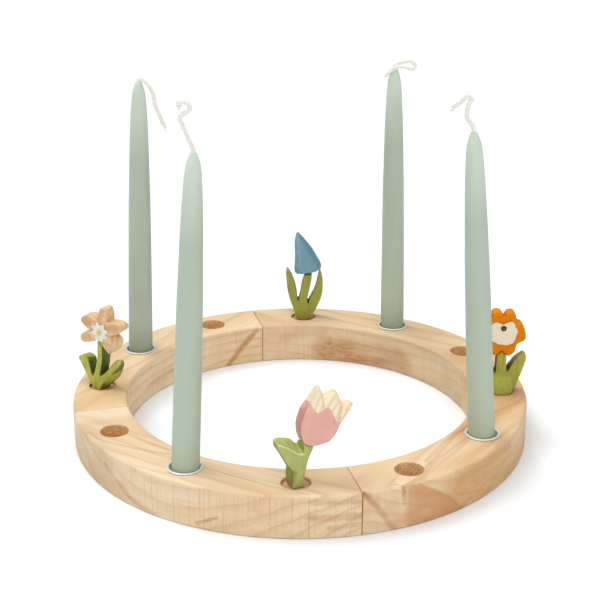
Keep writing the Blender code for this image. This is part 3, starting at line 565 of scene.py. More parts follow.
@dataclass(frozen=True)
class PineFinish:
    """Planed pine: growth rings round a pith that runs along the plank, fine fibres and a few marks."""

    name: str
    turn_deg: float
    pith: tuple[float, float]
    ring_spacing: float
    pale: Colour = PINE_PALE
    warm: Colour = PINE_WARM
    late: Colour = PINE_LATE
    late_strength: float = 0.52
    fibre_strength: float = 0.26
    saw_strength: float = 0.3
    speckle_strength: float = 0.0
    wander: float = 7.0
    seed: float = 0.0
    stains: tuple[Stain, ...] = ()
    patches: tuple[Patch, ...] = ()
    holes: tuple[Drilled, ...] = ()
    bump_depth: float = 0.1
    fibre_stretch: float = 0.03
    pore_stretch: float = 0.08
    cloud_stretch: float = 0.22

    def build(self) -> bpy.types.Material:
        """Make the material."""
        graph = Graph(self.name)
        plank = graph.mapping(graph.place, shift=(self.seed, 0.0, 0.0), turn_deg=(0.0, 0.0, self.turn_deg))
        stretched = graph.mapping(plank, scale=(self.cloud_stretch, 1.0, 1.0))
        late = self.growth_rings(graph, plank, stretched)
        fibres = graph.noise(graph.mapping(plank, scale=(self.fibre_stretch, 1.0, 1.0)), 1500.0, 2.0, 0.6)
        pores = graph.noise(graph.mapping(plank, scale=(self.pore_stretch, 1.0, 1.0)), 420.0, 2.0, 0.55)
        clouds = graph.noise(stretched, 26.0, 3.0, 0.5, 0.4)
        colour = graph.mix(graph.spread(clouds, 0.35, 0.68), self.pale, self.warm)
        uneven = graph.noise(stretched, 20.0)
        strength = graph.spread(uneven, 0.3, 0.7, 0.35 * self.late_strength, self.late_strength)
        colour = graph.mix(graph.times(late, strength), colour, self.late)
        streaks = graph.times(graph.spread(pores, 0.5, 0.78), self.fibre_strength)
        colour = graph.mix(streaks, colour, self.late)
        light_fibres = graph.times(graph.spread(fibres, 0.5, 0.8), 0.35 * self.fibre_strength)
        colour = graph.mix(light_fibres, colour, scaled(self.pale, 1.12))
        colour = self.saw_marks(graph, colour)
        if self.stains:
            fading = graph.spread(clouds, 0.3, 0.62, 0.35, 1.15)
            mottle = graph.times(fading, graph.spread(pores, 0.35, 0.65, 1.15, 0.7))
        for stain in self.stains:
            colour = graph.mix(graph.times(stain.mask(graph), mottle), colour, stain.colour)
        for patch in self.patches:
            share = graph.times(patch.mask(graph), graph.spread(clouds, 0.3, 0.7, 0.6, 1.0))
            colour = graph.mix(share, colour, patch.colour)
        for hole in self.holes:
            colour = graph.mix(hole.mask(graph), colour, hole.end_grain_with_painted_light(graph, self.pale))
        roughness = graph.spread(pores, 0.2, 0.8, 0.52, 0.68)
        relief = graph.bump(graph.plus(fibres, late), self.bump_depth)
        return graph.finish(colour, roughness, relief, Specular_IOR_Level=0.35)

    def growth_rings(self, graph: Graph, plank: Socket, stretched: Socket) -> Socket:
        """The dark late wood of the growth rings.

        Args:
            graph: The material's nodes.
            plank: The place in the plank.
            stretched: The same, drawn out along the plank.

        Returns:
            Its strength, from 0 to 1.
        """
        across = graph.minus(graph.part(plank, Axis.Y), self.pith[0] * MM)
        through = graph.minus(graph.part(plank, Axis.HEIGHT), self.pith[1] * MM)
        away = graph.math("SQRT", graph.plus(graph.times(across, across), graph.times(through, through)))
        stray = graph.minus(graph.noise(stretched, 14.0, 2.0, 0.4), 0.5)
        reach = graph.plus(away, graph.times(stray, 2.0 * self.wander * MM))
        uneven = graph.times(graph.noise(stretched, 38.0, 2.0), 1.1)
        phase = graph.math("FRACT", graph.plus(graph.times(reach, 1.0 / (self.ring_spacing * MM)), uneven))
        darkness = ((0.0, 0.7), (0.12, 0.12), (0.5, 0.05), (0.8, 0.5), (0.94, 1.0))
        return graph.ramp(phase, *((place, (level,) * 3) for place, level in darkness))

    def saw_marks(self, graph: Graph, colour: Socket) -> Socket:
        """Fine upright lines that the saw left on the walls, and specks in them."""
        lines = graph.noise(graph.mapping(graph.place, scale=(1.0, 1.0, 0.02)), 620.0, 2.0, 0.7)
        tall = graph.math("ABSOLUTE", graph.part(graph.normal(), Axis.HEIGHT))
        wall = graph.spread(tall, 0.2, 0.6, 1.0, 0.0)
        share = graph.times(graph.spread(lines, 0.48, 0.75), wall, self.saw_strength)
        colour = graph.mix(share, colour, self.late)
        dots = graph.noise(graph.mapping(graph.place, scale=(1.0, 1.0, 0.6)), 1100.0, 1.0)
        where = graph.spread(graph.noise(graph.place, 34.0, 2.0), 0.45, 0.65)
        share = graph.times(graph.spread(dots, 0.62, 0.74), where, wall, self.speckle_strength)
        return graph.mix(share, colour, PINE_BROWN)


@dataclass(frozen=True)
class WaxFinish:
    """Dipped candle wax: smooth, a little see-through, paler towards the tip, with painted shade at its foot.
    """

    name: str
    body: Colour
    shade: Colour
    tip: Colour = linear(212, 224, 207)
    foot_height: float = 37.0
    tip_height: float = 294.0

    def build(self) -> bpy.types.Material:
        """Make the material."""
        graph = Graph(self.name)
        up = graph.part(graph.place, Axis.HEIGHT)
        height = graph.spread(up, self.foot_height * MM, self.tip_height * MM, kind="LINEAR")
        # painted shade: the shade colour darkens the wax at its foot, just above the ring
        colour = graph.ramp(height, (0.0, self.shade), (0.12, self.body), (0.72, self.body), (0.98, self.tip))
        clouds = graph.noise(graph.mapping(graph.place, scale=(1.0, 1.0, 0.25)), 60.0, 3.0, 0.5)
        colour = graph.mix(graph.spread(clouds, 0.42, 0.75, 0.0, 0.22), colour, self.shade)
        bloom = graph.noise(graph.place, 420.0, 3.0, 0.6)
        colour = graph.mix(graph.spread(bloom, 0.55, 0.8, 0.0, 0.14), colour, self.tip)
        roughness = graph.spread(clouds, 0.3, 0.7, 0.42, 0.58)
        runs = graph.noise(graph.mapping(graph.place, scale=(1.0, 1.0, 0.12)), 150.0, 2.0, 0.5)
        normal = graph.bump(bloom, 0.03, graph.bump(runs, 0.15))
        depth = {"Subsurface_Weight": 0.2, "Subsurface_Radius": (0.5, 0.6, 0.45), "Subsurface_Scale": 0.003}
        return graph.finish(colour, roughness, normal, Specular_IOR_Level=0.04, **depth)


@dataclass(frozen=True)
class TinFinish:
    """Thin pressed metal with fine scratches."""

    name: str
    colour: Colour = (0.93, 0.935, 0.94)

    def build(self) -> bpy.types.Material:
        """Make the material."""
        graph = Graph(self.name)
        clouds = graph.noise(graph.place, 160.0, 3.0)
        tint = graph.mix(graph.spread(clouds, 0.3, 0.7, 0.0, 0.3), self.colour, (0.82, 0.83, 0.85))
        scratches = graph.noise(graph.mapping(graph.place, scale=(1.0, 1.0, 6.0)), 900.0, 2.0, 0.7)
        roughness = graph.spread(scratches, 0.3, 0.7, 0.34, 0.5)
        return graph.finish(tint, roughness, graph.bump(scratches, 0.02), Metallic=0.45)


@dataclass(frozen=True)
class CottonFinish:
    """Waxed cotton yarn."""
    # Waxed cotton yarn, with painted shade in the creases between its yarns.

    name: str
    colour: Colour = linear(252, 250, 242)
    shade: Colour = linear(178, 172, 154)

    def build(self) -> bpy.types.Material:
        """Make the material."""
        graph = Graph(self.name)
        fluff = graph.noise(graph.place, 1800.0, 3.0, 0.7)
        colour = graph.mix(graph.spread(fluff, 0.4, 0.75, 0.0, 0.7), self.colour, self.shade)
        # painted shade: darker in the creases between the yarns
        colour = graph.mix(graph.edges(0.5, 0.42), colour, scaled(self.shade, 0.6))
        roughness = graph.spread(fluff, 0.3, 0.7, 0.75, 0.92)
        return graph.finish(colour, roughness, graph.bump(fluff, 0.2), Specular_IOR_Level=0.1)


@dataclass(frozen=True)
class PaintFinish:
    """Thin paint brushed over carved wood: soft streaks, painted shade in the hollows, and edges worn a little
    paler.
    """

    name: str
    body: Colour
    dark: Colour
    worn: Colour
    streak_strength: float = 0.35
    hollow_shade: float = 0.3
    wear: float = 0.3
    gloss: tuple[float, float] = (0.36, 0.5)
    shine: float = 0.3
    front_deg: float = 0.0
    side_shade: float = 0.0
    marks: tuple[Stain, ...] = ()
    seed: float = 0.0

    def build(self) -> bpy.types.Material:
        """Make the material."""
        graph = Graph(self.name)
        around = graph.mapping(graph.place, shift=(self.seed, 0.0, 0.0))
        streaks = graph.noise(graph.mapping(around, scale=(1.0, 1.0, 0.12)), 330.0, 3.0, 0.6)
        clouds = graph.noise(around, 70.0, 3.0, 0.55)
        thick = tuple(0.6 * body + 0.4 * dark for body, dark in zip(self.body, self.dark))
        colour = graph.mix(graph.spread(clouds, 0.3, 0.7, 0.0, 0.5), self.body, thick)
        colour = graph.mix(graph.spread(streaks, 0.5, 0.78, 0.0, self.streak_strength), colour, self.dark)
        colour = graph.mix(graph.spread(clouds, 0.55, 0.8, 0.0, 0.35 * self.wear), colour, self.worn)
        # painted shade: the sawn sides darker than the front, as if turned from the light
        if self.side_shade:
            colour = graph.mix(graph.times(self.sides(graph), self.side_shade), colour, self.dark)
        for mark in self.marks:
            colour = graph.mix(mark.mask(graph), colour, mark.colour)
        # painted shade: the dark colour laid into concave hollows, where shade falls
        colour = graph.mix(graph.times(graph.edges(0.494, 0.44), self.hollow_shade), colour, self.dark)
        rubbed = graph.times(graph.edges(0.512, 0.56), graph.spread(clouds, 0.35, 0.6, 0.4, 1.0))
        colour = graph.mix(graph.times(rubbed, self.wear), colour, self.worn)
        roughness = graph.spread(streaks, 0.3, 0.7, *self.gloss)
        brushed = graph.bump(streaks, 0.07, graph.bump(clouds, 0.25))
        return graph.finish(colour, roughness, brushed, Specular_IOR_Level=self.shine)

    def sides(self, graph: Graph) -> Socket:
        """Where painted shade darkens the piece: 1 on the sawn sides, 0 on the front, the back and what faces
        up.
        """
        normal = graph.normal()
        angle = math.radians(self.front_deg)
        facing = graph.vector("DOT_PRODUCT", normal, (math.cos(angle), math.sin(angle), 0.0))
        aside = graph.spread(graph.math("ABSOLUTE", facing), 0.35, 0.8, 1.0, 0.0)
        return graph.times(aside, graph.spread(graph.part(normal, Axis.HEIGHT), 0.25, 0.7, 1.0, 0.0))


@dataclass(frozen=True)
class FloorFinish:
    """Seamless pale paper."""

    name: str
    colour: Colour
    tone: Colour

    def build(self) -> bpy.types.Material:
        """Make the material."""
        graph = Graph(self.name)
        grain = graph.noise(graph.place, 900.0, 3.0, 0.6)
        colour = graph.mix(graph.spread(grain, 0.3, 0.7), self.colour, self.tone)
        return graph.finish(colour, graph.spread(grain, 0.3, 0.7, 0.85, 0.95), Specular_IOR_Level=0.1)


# The ring


@dataclass
class RingQuarter:
    """One loose quarter of the ring, with an open socket, a candle's bore and a flower's socket."""

    place: str
    number: int
    finish: PineFinish
    drifts: tuple[float, float, float] = (0.0, 0.0, 0.0)
    outer_radius: float = OUTER_RADIUS
    inner_radius: float = INNER_RADIUS
    height: float = RING_TOP
    top_rounding: float = 2.4
    foot_rounding: float = 1.0
    seam_rounding: float = 0.8
    seam_gap: float = 0.5
    steps: int = 96
    socket: tuple[float, float] = (SOCKET_RADIUS, 22.0)
    bore: tuple[float, float] = (BORE_RADIUS, 21.0)
    hole_edge: float = 0.7
    hole_edge_steps: int = 4
    hole_sides: int = 72

    def section(self) -> bpy.types.Object:
        """The quarter's cross-section, a plane with rounded corners, standing at the quarter's first end."""
        middle = Vector((0.5 * (self.inner_radius + self.outer_radius), 0.0, 0.5 * self.height)) * MM
        width = self.outer_radius - self.inner_radius
        Bench.clear()
        bpy.ops.mesh.primitive_plane_add(size=1.0, location=middle, rotation=(math.radians(90.0), 0.0, 0.0))
        obj = bpy.context.object
        obj.name = obj.data.name = f"quarter_{self.place}"
        obj.scale = (width * MM, self.height * MM, 1.0)
        Bench.settle(obj)
        with Bench.editing(obj):
            for rounding, segments, upper in ((self.top_rounding, 6, True), (self.foot_rounding, 3, False)):
                Bench.pick(
                    obj, "verts",
                    lambda vert, upper=upper: len(vert.link_edges) == 2 and (vert.co.z > middle.z) == upper,
                )
                bpy.ops.mesh.bevel(
                    offset=rounding * MM, segments=segments, affect="VERTICES", clamp_overlap=False
                )
        return obj

    def build(self) -> None:
        """Make the quarter and put it in place."""
        start = math.radians(-90.0 + 90.0 * self.number)
        seam = math.asin(0.5 * self.seam_gap / HOLE_CIRCLE)
        sweep = math.radians(90.0) - 2.0 * seam
        obj = self.section()
        obj.rotation_euler = (0.0, 0.0, start + seam)
        Bench.settle(obj)
        with Bench.editing(obj):
            bpy.ops.mesh.spin(steps=self.steps, angle=-sweep, center=(0.0, 0.0, 0.0), axis=UP)
            bpy.ops.mesh.select_all(action="SELECT")
            bpy.ops.mesh.remove_doubles(threshold=1e-7)
            bpy.ops.mesh.normals_make_consistent(inside=False)
            Bench.pick(obj, "faces", lambda face: len(face.verts) > 4)
            bpy.ops.mesh.bevel(offset=self.seam_rounding * MM, segments=3, affect="EDGES")
        for step in range(HOLES_PER_QUARTER):
            place = hole_place(HOLES_PER_QUARTER * self.number + step, self.drifts[step])
            radius, depth = self.bore if step == 1 else self.socket
            self.drill(obj, place, radius, depth)
        Bench.face_outwards(obj)
        Bench.smooth(obj, 30.0)
        Bench.fit(obj, self.finish.build(), "pine", f"ring_quarter_{self.place}")

    def drill(self, obj: bpy.types.Object, place: Vector, radius: float, depth: float) -> None:
        """Drill a hole with a softly broken edge."""
        edge = self.hole_edge
        profile = [(radius, -depth), (radius, -0.5 * depth), (radius, -edge)]
        for step in range(1, self.hole_edge_steps + 1):
            angle = math.radians(90.0 * step / self.hole_edge_steps)
            profile.append((radius + edge * (1.0 - math.cos(angle)), -edge * (1.0 - math.sin(angle))))
        profile.append((radius + edge, 1.0))
        Bench.cut(obj, Bench.turn_up("drill", profile, self.hole_sides, place))


# Cups and candles


@dataclass
class CandleCup:
    """A thin pressed cup with a rolled rim, which stands in its bore."""

    place: str
    index: int
    finish: TinFinish
    radius: float = 13.2
    wall: float = 0.6
    floor_depth: float = 20.6
    rim_radius: float = 14.8
    rim_height: float = 1.35
    rest: float = 0.3
    sides: int = 96

    def profile(self) -> Profile:
        """The cup's outline from its floor, up the outside, over the rolled rim and down the inside."""
        outer, inner = self.radius, self.radius - self.wall
        under, floor = -self.floor_depth, self.wall - self.floor_depth
        top = self.rim_height
        middle, half = 0.5 * (top + self.rest), 0.5 * (top - self.rest)
        points = [(outer - 1.0, under), (outer - 0.3, under + 0.3), (outer, under + 1.0), (outer, self.rest)]
        for angle in (math.radians(-90.0 + 30.0 * step) for step in range(7)):
            points.append((self.rim_radius - half + half * math.cos(angle), middle + half * math.sin(angle)))
        points += [(inner + 0.4, top - 0.02), (inner + 0.1, top - 0.2), (inner, top - 0.6)]
        points += [(inner, floor + 0.7), (inner - 0.2, floor + 0.2), (inner - 0.7, floor)]
        return points

    def build(self) -> None:
        """Make the cup."""
        obj = Bench.turn_up(f"cup_{self.place}", self.profile(), self.sides, hole_place(self.index))
        Bench.smooth(obj, 40.0)
        Bench.fit(obj, self.finish.build(), "cup_metal", f"candle_cup_{self.place}")


@dataclass
class DippedCandle:
    """A dipped taper candle that leans in its cup, and the plied wick that curls above it."""

    place: str
    index: int
    lean_deg: float
    curl: list[Point]
    finish: WaxFinish
    cotton: CottonFinish
    frays: int
    fray_length: float
    seed: int
    fray_spread: float = 1.0
    sideways_deg: float = -13.95
    foot_rounding: float = 0.8
    slide_per_deg: float = 0.12
    seat_height: float = -19.7
    unevenness: float = 0.25
    unevenness_size: float = 30.0
    taper: Profile = field(
        default_factory=lambda: [
            (-19.2, 10.9), (0.0, 11.15), (21.0, 11.2), (80.0, 10.75), (137.0, 10.1),
            (160.0, 9.6), (185.0, 9.05), (210.0, 8.3), (224.0, 7.65), (236.0, 6.95),
            (244.0, 6.2), (249.0, 5.4), (253.0, 4.1), (255.7, 3.2), (257.0, 2.4),
        ]
    )
    sides: int = 72
    yarns: int = 3
    yarn_radius: float = 1.0
    yarn_offset: float = 0.95
    yarn_twist_length: float = 7.5

    def sideways(self) -> Vector:
        """The direction in which the candle leans and its wick curls."""
        angle = math.radians(self.sideways_deg)
        return Vector((math.cos(angle), math.sin(angle), 0.0))

    def seat(self) -> Vector:
        """Where the middle of the candle's foot stands."""
        drop = self.taper[0][1] * math.sin(math.radians(abs(self.lean_deg)))
        low = Vector((0.0, 0.0, self.seat_height + drop))
        return hole_place(self.index) + low - self.slide_per_deg * self.lean_deg * self.sideways()

    def lean(self) -> Matrix:
        """The candle's lean."""
        return Matrix.Rotation(math.radians(self.lean_deg), 4, UP.cross(self.sideways()))

    def length(self) -> float:
        """The candle's length from foot to tip."""
        return self.taper[-1][0] - self.taper[0][0]

    def build(self) -> None:
        """Make the candle and its wick."""
        foot = self.taper[0][0]
        places = smooth_path([Vector((radius, height, 0.0)) for height, radius in self.taper], 4)
        profile = [(self.taper[0][1] - self.foot_rounding, 0.0)]
        profile += [(place.x, place.y - foot) for place in places[1:]]
        profile += [(1.9, self.length() + 0.35), (1.2, self.length() + 0.5)]
        obj = Bench.turn_up(f"taper_{self.place}", profile, self.sides, self.seat(), self.lean())
        self.dip(obj)
        Bench.smooth(obj, 60.0)
        Bench.fit(obj, self.finish.build(), "candle_wax", f"candle_{self.place}")
        self.build_wick()

    def dip(self, obj: bpy.types.Object) -> None:
        """Give the wax the slight unevenness of dipping."""
        clouds = bpy.data.textures.new(f"dipping_{self.place}", "CLOUDS")
        clouds.noise_scale = self.unevenness_size * MM
        Bench.push(obj, clouds, self.unevenness, 0.6)

    def build_wick(self) -> None:
        """Ply the wick from its yarns and fray its end."""
        across = self.sideways()
        forward = Vector((across.y, -across.x, 0.0))
        axis = self.lean() @ UP
        top = self.seat() + self.length() * axis
        free = [top + height * axis for height in (-5.0, -1.5, 1.2)]
        free += [top + x * across + y * forward + z * UP for x, y, z in self.curl]
        path = smooth_path(free, 8)
        strands = [self.yarn(path, turn) for turn in range(self.yarns)]
        rng = random.Random(self.seed)
        strands += [self.fray(path, rng) for _ in range(self.frays)]
        for strand in strands:
            Bench.hold(strand)
            bpy.ops.object.convert(target="MESH")
        Bench.hold(*strands)
        bpy.ops.object.join()
        obj = bpy.context.object
        obj.name = obj.data.name = f"plied_wick_{self.place}"
        Bench.settle(obj)
        bpy.ops.object.shade_smooth()
        Bench.fit(obj, self.cotton.build(), "wick_cotton", f"wick_{self.place}")

    def yarn(self, path: list[Vector], number: int) -> bpy.types.Object:
        """One yarn, wound round the wick's path."""
        side = Vector((0.0, 1.0, 0.0))
        places = []
        travelled = 0.0
        for index, here in enumerate(path):
            ahead = path[min(index + 1, len(path) - 1)] - path[max(index - 1, 0)]
            ahead.normalize()
            side = (side - side.dot(ahead) * ahead).normalized()
            if index:
                travelled += (here - path[index - 1]).length
            angle = 2.0 * math.pi * (travelled / self.yarn_twist_length + number / 3.0)
            offset = self.yarn_offset * (math.cos(angle) * side + math.sin(angle) * ahead.cross(side))
            places.append(here + offset)
        return thread(f"yarn_{number}", places, [self.yarn_radius] * len(places))

    def fray(self, path: list[Vector], rng: random.Random) -> bpy.types.Object:
        """A loose fibre bundle at the wick's end."""
        end = path[-1]
        ahead = (path[-1] - path[-4]).normalized()
        start = path[-4] + 0.5 * Vector([rng.uniform(-1.0, 1.0) for _ in range(3)])
        spread = self.fray_spread * Vector([rng.uniform(-1.0, 1.0) for _ in range(3)])
        length = self.fray_length * rng.uniform(0.5, 1.0)
        steps = ((0.25, 0.6), (0.6, 1.5), (1.0, 2.4))
        places = [start, *(end + length * along * ahead + aside * spread for along, aside in steps)]
        places = smooth_path(places, 4)
        radii = [0.95 - 0.5 * index / (len(places) - 1) for index in range(len(places))]
        return thread("fray", places, radii)


def smooth_path(points: list[Vector], steps: int) -> list[Vector]:
    """Points of a smooth curve through the given ones.

    Args:
        points: What the curve runs through.
        steps: How many points each stretch gets.

    Returns:
        The curve's points, the ends included.
    """
    path = []
    for index in range(len(points) - 1):
        before = points[max(index - 1, 0)]
        start = points[index]
        end = points[index + 1]
        after = points[min(index + 2, len(points) - 1)]
        for step in range(steps):
            t = step / steps
            straight = 2.0 * start + (end - before) * t
            bend = (2.0 * before - 5.0 * start + 4.0 * end - after) * t**2
            twist = (3.0 * start - before - 3.0 * end + after) * t**3
            path.append(0.5 * (straight + bend + twist))
    path.append(points[-1])
    return path


def thread(name: str, places: list[Vector], radii: list[float]) -> bpy.types.Object:
    """A round thread through places in millimetres.

    Args:
        name: The thread's name.
        places: Its middle line.
        radii: Its radius at each place.

    Returns:
        A curve with closed ends.
    """
    Bench.clear()
    bpy.ops.curve.primitive_nurbs_path_add()
    obj = bpy.context.object
    obj.name = name
    curve = obj.data
    curve.splines.clear()
    curve.bevel_depth = MM
    curve.bevel_resolution = 2
    curve.use_fill_caps = True
    spline = curve.splines.new("POLY")
    spline.points.add(len(places) - 1)
    for point, place, radius in zip(spline.points, places, radii):
        point.co = (*(place * MM), 1.0)
        point.radius = radius
    return obj


# Flowers


@dataclass(frozen=True)
class Stand:
    """Where a flower stands and which way its front faces."""

    index: int
    facing_deg: float
    drift_deg: float = 0.0

    def matrix(self) -> Matrix:
        """From the flower's own (across, depth, up) in millimetres to the frame in millimetres."""
        turn = Matrix.Rotation(math.radians(self.facing_deg + 90.0), 4, "Z")
        return Matrix.Translation(hole_place(self.index, self.drift_deg)) @ turn

    def at(self, across: float, depth: float, up: float) -> Point:
        """A place on the flower, in the frame, in millimetres."""
        return tuple(self.matrix() @ Vector((across, depth, up)))

    def path(self, *places: Point) -> tuple[Point, ...]:
        """A path over the flower, in the frame, in millimetres."""
        return tuple(self.at(*place) for place in places)


@dataclass(frozen=True)
class Carver:
    """Carves a flower's piece out of copies of its CAD nodes, with rounded edges and a knife's unevenness."""

    stand: Stand

    def rough_out(self, name: str, nodes: tuple[str, ...], grain: float, rounding: int) -> bpy.types.Object:
        """Join copies of the nodes and round them over.

        Args:
            name: The new piece's name.
            nodes: The CAD nodes that it is carved from.
            grain: The size of the finest detail, in millimetres.
            rounding: How many times the surface is rubbed smooth.

        Returns:
            The piece.
        """
        copies = []
        for node in nodes:
            copy = bpy.data.objects.new(name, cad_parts[node].data.copy())
            bpy.context.scene.collection.objects.link(copy)
            copies.append(copy)
        Bench.hold(*copies)
        if len(copies) > 1:
            bpy.ops.object.join()
        obj = bpy.context.object
        obj.name = obj.data.name = name
        Bench.face_outwards(obj)
        self.rub(obj, grain, rounding)
        return obj

    def rub(self, obj: bpy.types.Object, grain: float, rounding: int) -> None:
        """Remake the surface evenly and rub it smooth."""
        Bench.apply(obj, "REMESH", mode="VOXEL", voxel_size=grain * MM)
        if rounding:
            Bench.apply(obj, "SMOOTH", factor=0.5, iterations=rounding)

    def whittle(self, obj: bpy.types.Object, size: float, depth: float) -> None:
        """Leave the shallow unevenness of a knife."""
        facets = bpy.data.textures.new(f"knife_{obj.name}", "VORONOI")
        facets.noise_scale = size * MM
        facets.distance_metric = "DISTANCE"
        Bench.push(obj, facets, depth)
        Bench.apply(obj, "SMOOTH", factor=0.5, iterations=3)

    def slab(self, outline: Profile, front: float, back: float) -> bpy.types.Object:
        """A block between two depths whose outline is given as (across, up) points."""
        Bench.clear()
        bpy.ops.mesh.primitive_circle_add(vertices=len(outline), radius=MM, fill_type="NGON")
        obj = bpy.context.object
        for vert, (across, up) in zip(obj.data.vertices, outline):
            vert.co = (across, front, up)
        with Bench.editing(obj):
            bpy.ops.mesh.extrude_region_move(TRANSFORM_OT_translate={"value": (0.0, back - front, 0.0)})
            bpy.ops.mesh.select_all(action="SELECT")
            bpy.ops.mesh.normals_make_consistent(inside=False)
        obj.matrix_world = Matrix.Scale(MM, 4) @ self.stand.matrix()
        Bench.settle(obj)
        return obj

    def peg(self, flower: str, seed: float, top: float = PEG_TOP) -> None:
        """The bare round foot of the flower, in slightly darker wood.

        Args:
            flower: The flower's name.
            seed: Which part of the board it is turned from.
            top: How high it ends.
        """
        profile = [(10.7, -21.7), (11.3, -21.4), (11.5, -20.9)]
        profile += [(11.5, top - 0.8), (11.3, top - 0.25), (10.7, top)]
        place = hole_place(self.stand.index, self.stand.drift_deg)
        obj = Bench.turn_up(f"{flower}_foot", profile, 64, place)
        Bench.smooth(obj, 40.0)
        wood = PineFinish(
            f"{flower}_foot_wood", 20.0, (10.0, 0.0), 3.0,
            linear(214, 172, 142), linear(202, 156, 126), linear(168, 120, 92), seed=seed, saw_strength=0.1,
        )
        Bench.fit(obj, wood.build(), "peg_wood", f"{flower}_peg")

    def carve(
        self, name: str, node: str, slot: str, finish: PaintFinish | PineFinish,
        grain: float = 0.4, rounding: int = 7, knife: tuple[float, float] | None = (9.0, 0.4),
    ) -> None:
        """Carve one whole piece of the flower and finish it.

        Args:
            name: The new piece's name.
            node: The CAD node that it is carved from.
            slot: The record's material slot.
            finish: Its paint or its bare wood.
            grain: The size of the finest detail, in millimetres.
            rounding: How many times the surface is rubbed smooth.
            knife: The size and the depth of the knife's facets.
        """
        obj = self.rough_out(name, (node,), grain, rounding)
        if knife:
            self.whittle(obj, *knife)
        Bench.smooth(obj, ROUND_ALL_DEG)
        Bench.fit(obj, finish.build(), slot, node)


@dataclass
class Tulip:
    """A pink tulip with bare tips and one wide leaf."""

    stand: Stand = Stand(11, -79.8)
    paint_edge: Profile = field(
        default_factory=lambda: [
            (-6.0, 68.0), (9.2, 69.0), (10.5, 66.2), (12.7, 61.8), (15.4, 58.8), (18.0, 59.9), (21.1, 61.5),
            (24.3, 62.0), (27.4, 59.0), (28.8, 55.1), (30.2, 51.0), (32.9, 48.2), (36.5, 48.2), (58.0, 47.0),
        ]
    )
    cutter_top: float = 120.0
    cutter_half_depth: float = 14.0

    def build(self) -> None:
        """Make the tulip."""
        carver = Carver(self.stand)
        path = self.stand.path
        ridge_highlight = path(
            (-17.0, -5.5, 38.0), (-8.3, -5.8, 33.3), (-3.1, -5.8, 29.2), (1.4, -5.8, 26.3), (5.9, -5.8, 25.8)
        )
        shadow = path((-5.0, -4.0, 4.0), (-3.5, -5.5, 12.0))
        green = PaintFinish(
            "tulip_green", linear(184, 190, 110), linear(104, 118, 52), linear(214, 222, 160),
            hollow_shade=0.8, wear=0.45, front_deg=self.stand.facing_deg, side_shade=0.55,
            marks=(
                # painted highlight: a pale line along the leaf's front ridge
                Stain(ridge_highlight, 0.1, 0.8, 0.8, linear(228, 232, 180), 0.3),
                Stain(shadow, 1.6, 2.0, 0.5, linear(110, 122, 58)),
            ),
        )
        carver.carve("tulip_leaf_and_stem", "tulip_stem_and_leaf", "leaf_green", green, knife=(9.0, 0.5))
        self.build_bloom(carver)
        carver.peg("tulip", 0.3)

    def build_bloom(self, carver: Carver) -> None:
        """Carve the bloom in one, then part it along the line where the paint ends."""
        path = self.stand.path
        whole = carver.rough_out("tulip_bloom", ("tulip_cup_pink", "tulip_tips_bare"), 0.55, 0)
        carver.rub(whole, 0.4, 5)
        carver.whittle(whole, 11.0, 1.3)
        tips = whole.copy()
        tips.data = whole.data.copy()
        bpy.context.scene.collection.objects.link(tips)
        for piece, end in ((whole, self.cutter_top), (tips, 0.0)):
            outline = [*self.paint_edge, (self.paint_edge[-1][0], end), (self.paint_edge[0][0], end)]
            Bench.cut(piece, carver.slab(outline, -self.cutter_half_depth, self.cutter_half_depth))
        streak = Stain(path((2.0, -2.0, 45.0), (5.0, -2.0, 60.0)), 2.0, 3.5, 0.45, linear(196, 136, 126))
        pink = PaintFinish(
            "tulip_pink", linear(236, 177, 165), linear(188, 126, 116), linear(246, 206, 192),
            wear=0.45, hollow_shade=0.6, shine=0.4, front_deg=self.stand.facing_deg, side_shade=0.7, marks=(streak,),
        )
        # painted shade: golden brown in the V-grooves between the bare tips
        groove_shade = (
            Stain(path((21.0, -7.0, 62.0), (20.0, -7.0, 74.0)), 0.6, 1.4, 0.7, linear(190, 146, 92), 0.5),
            Stain(path((33.5, -7.0, 50.0), (35.5, -7.0, 60.0)), 0.6, 1.4, 0.7, linear(178, 134, 84), 0.5),
        )
        bare = PineFinish(
            "tulip_bare_wood", 30.0, (-60.0, 60.0), 4.0,
            linear(250, 234, 202), linear(244, 220, 180), linear(208, 164, 108),
            saw_strength=0.0, stains=groove_shade,
        )
        for piece, name, finish, slot, node in (
            (whole, "tulip_pink_cup", pink, "petal_pink", "tulip_cup_pink"),
            (tips, "tulip_bare_tips", bare, "petal_wood", "tulip_tips_bare"),
        ):
            piece.name = piece.data.name = name
            Bench.smooth(piece, 50.0)
            Bench.fit(piece, finish.build(), slot, node)


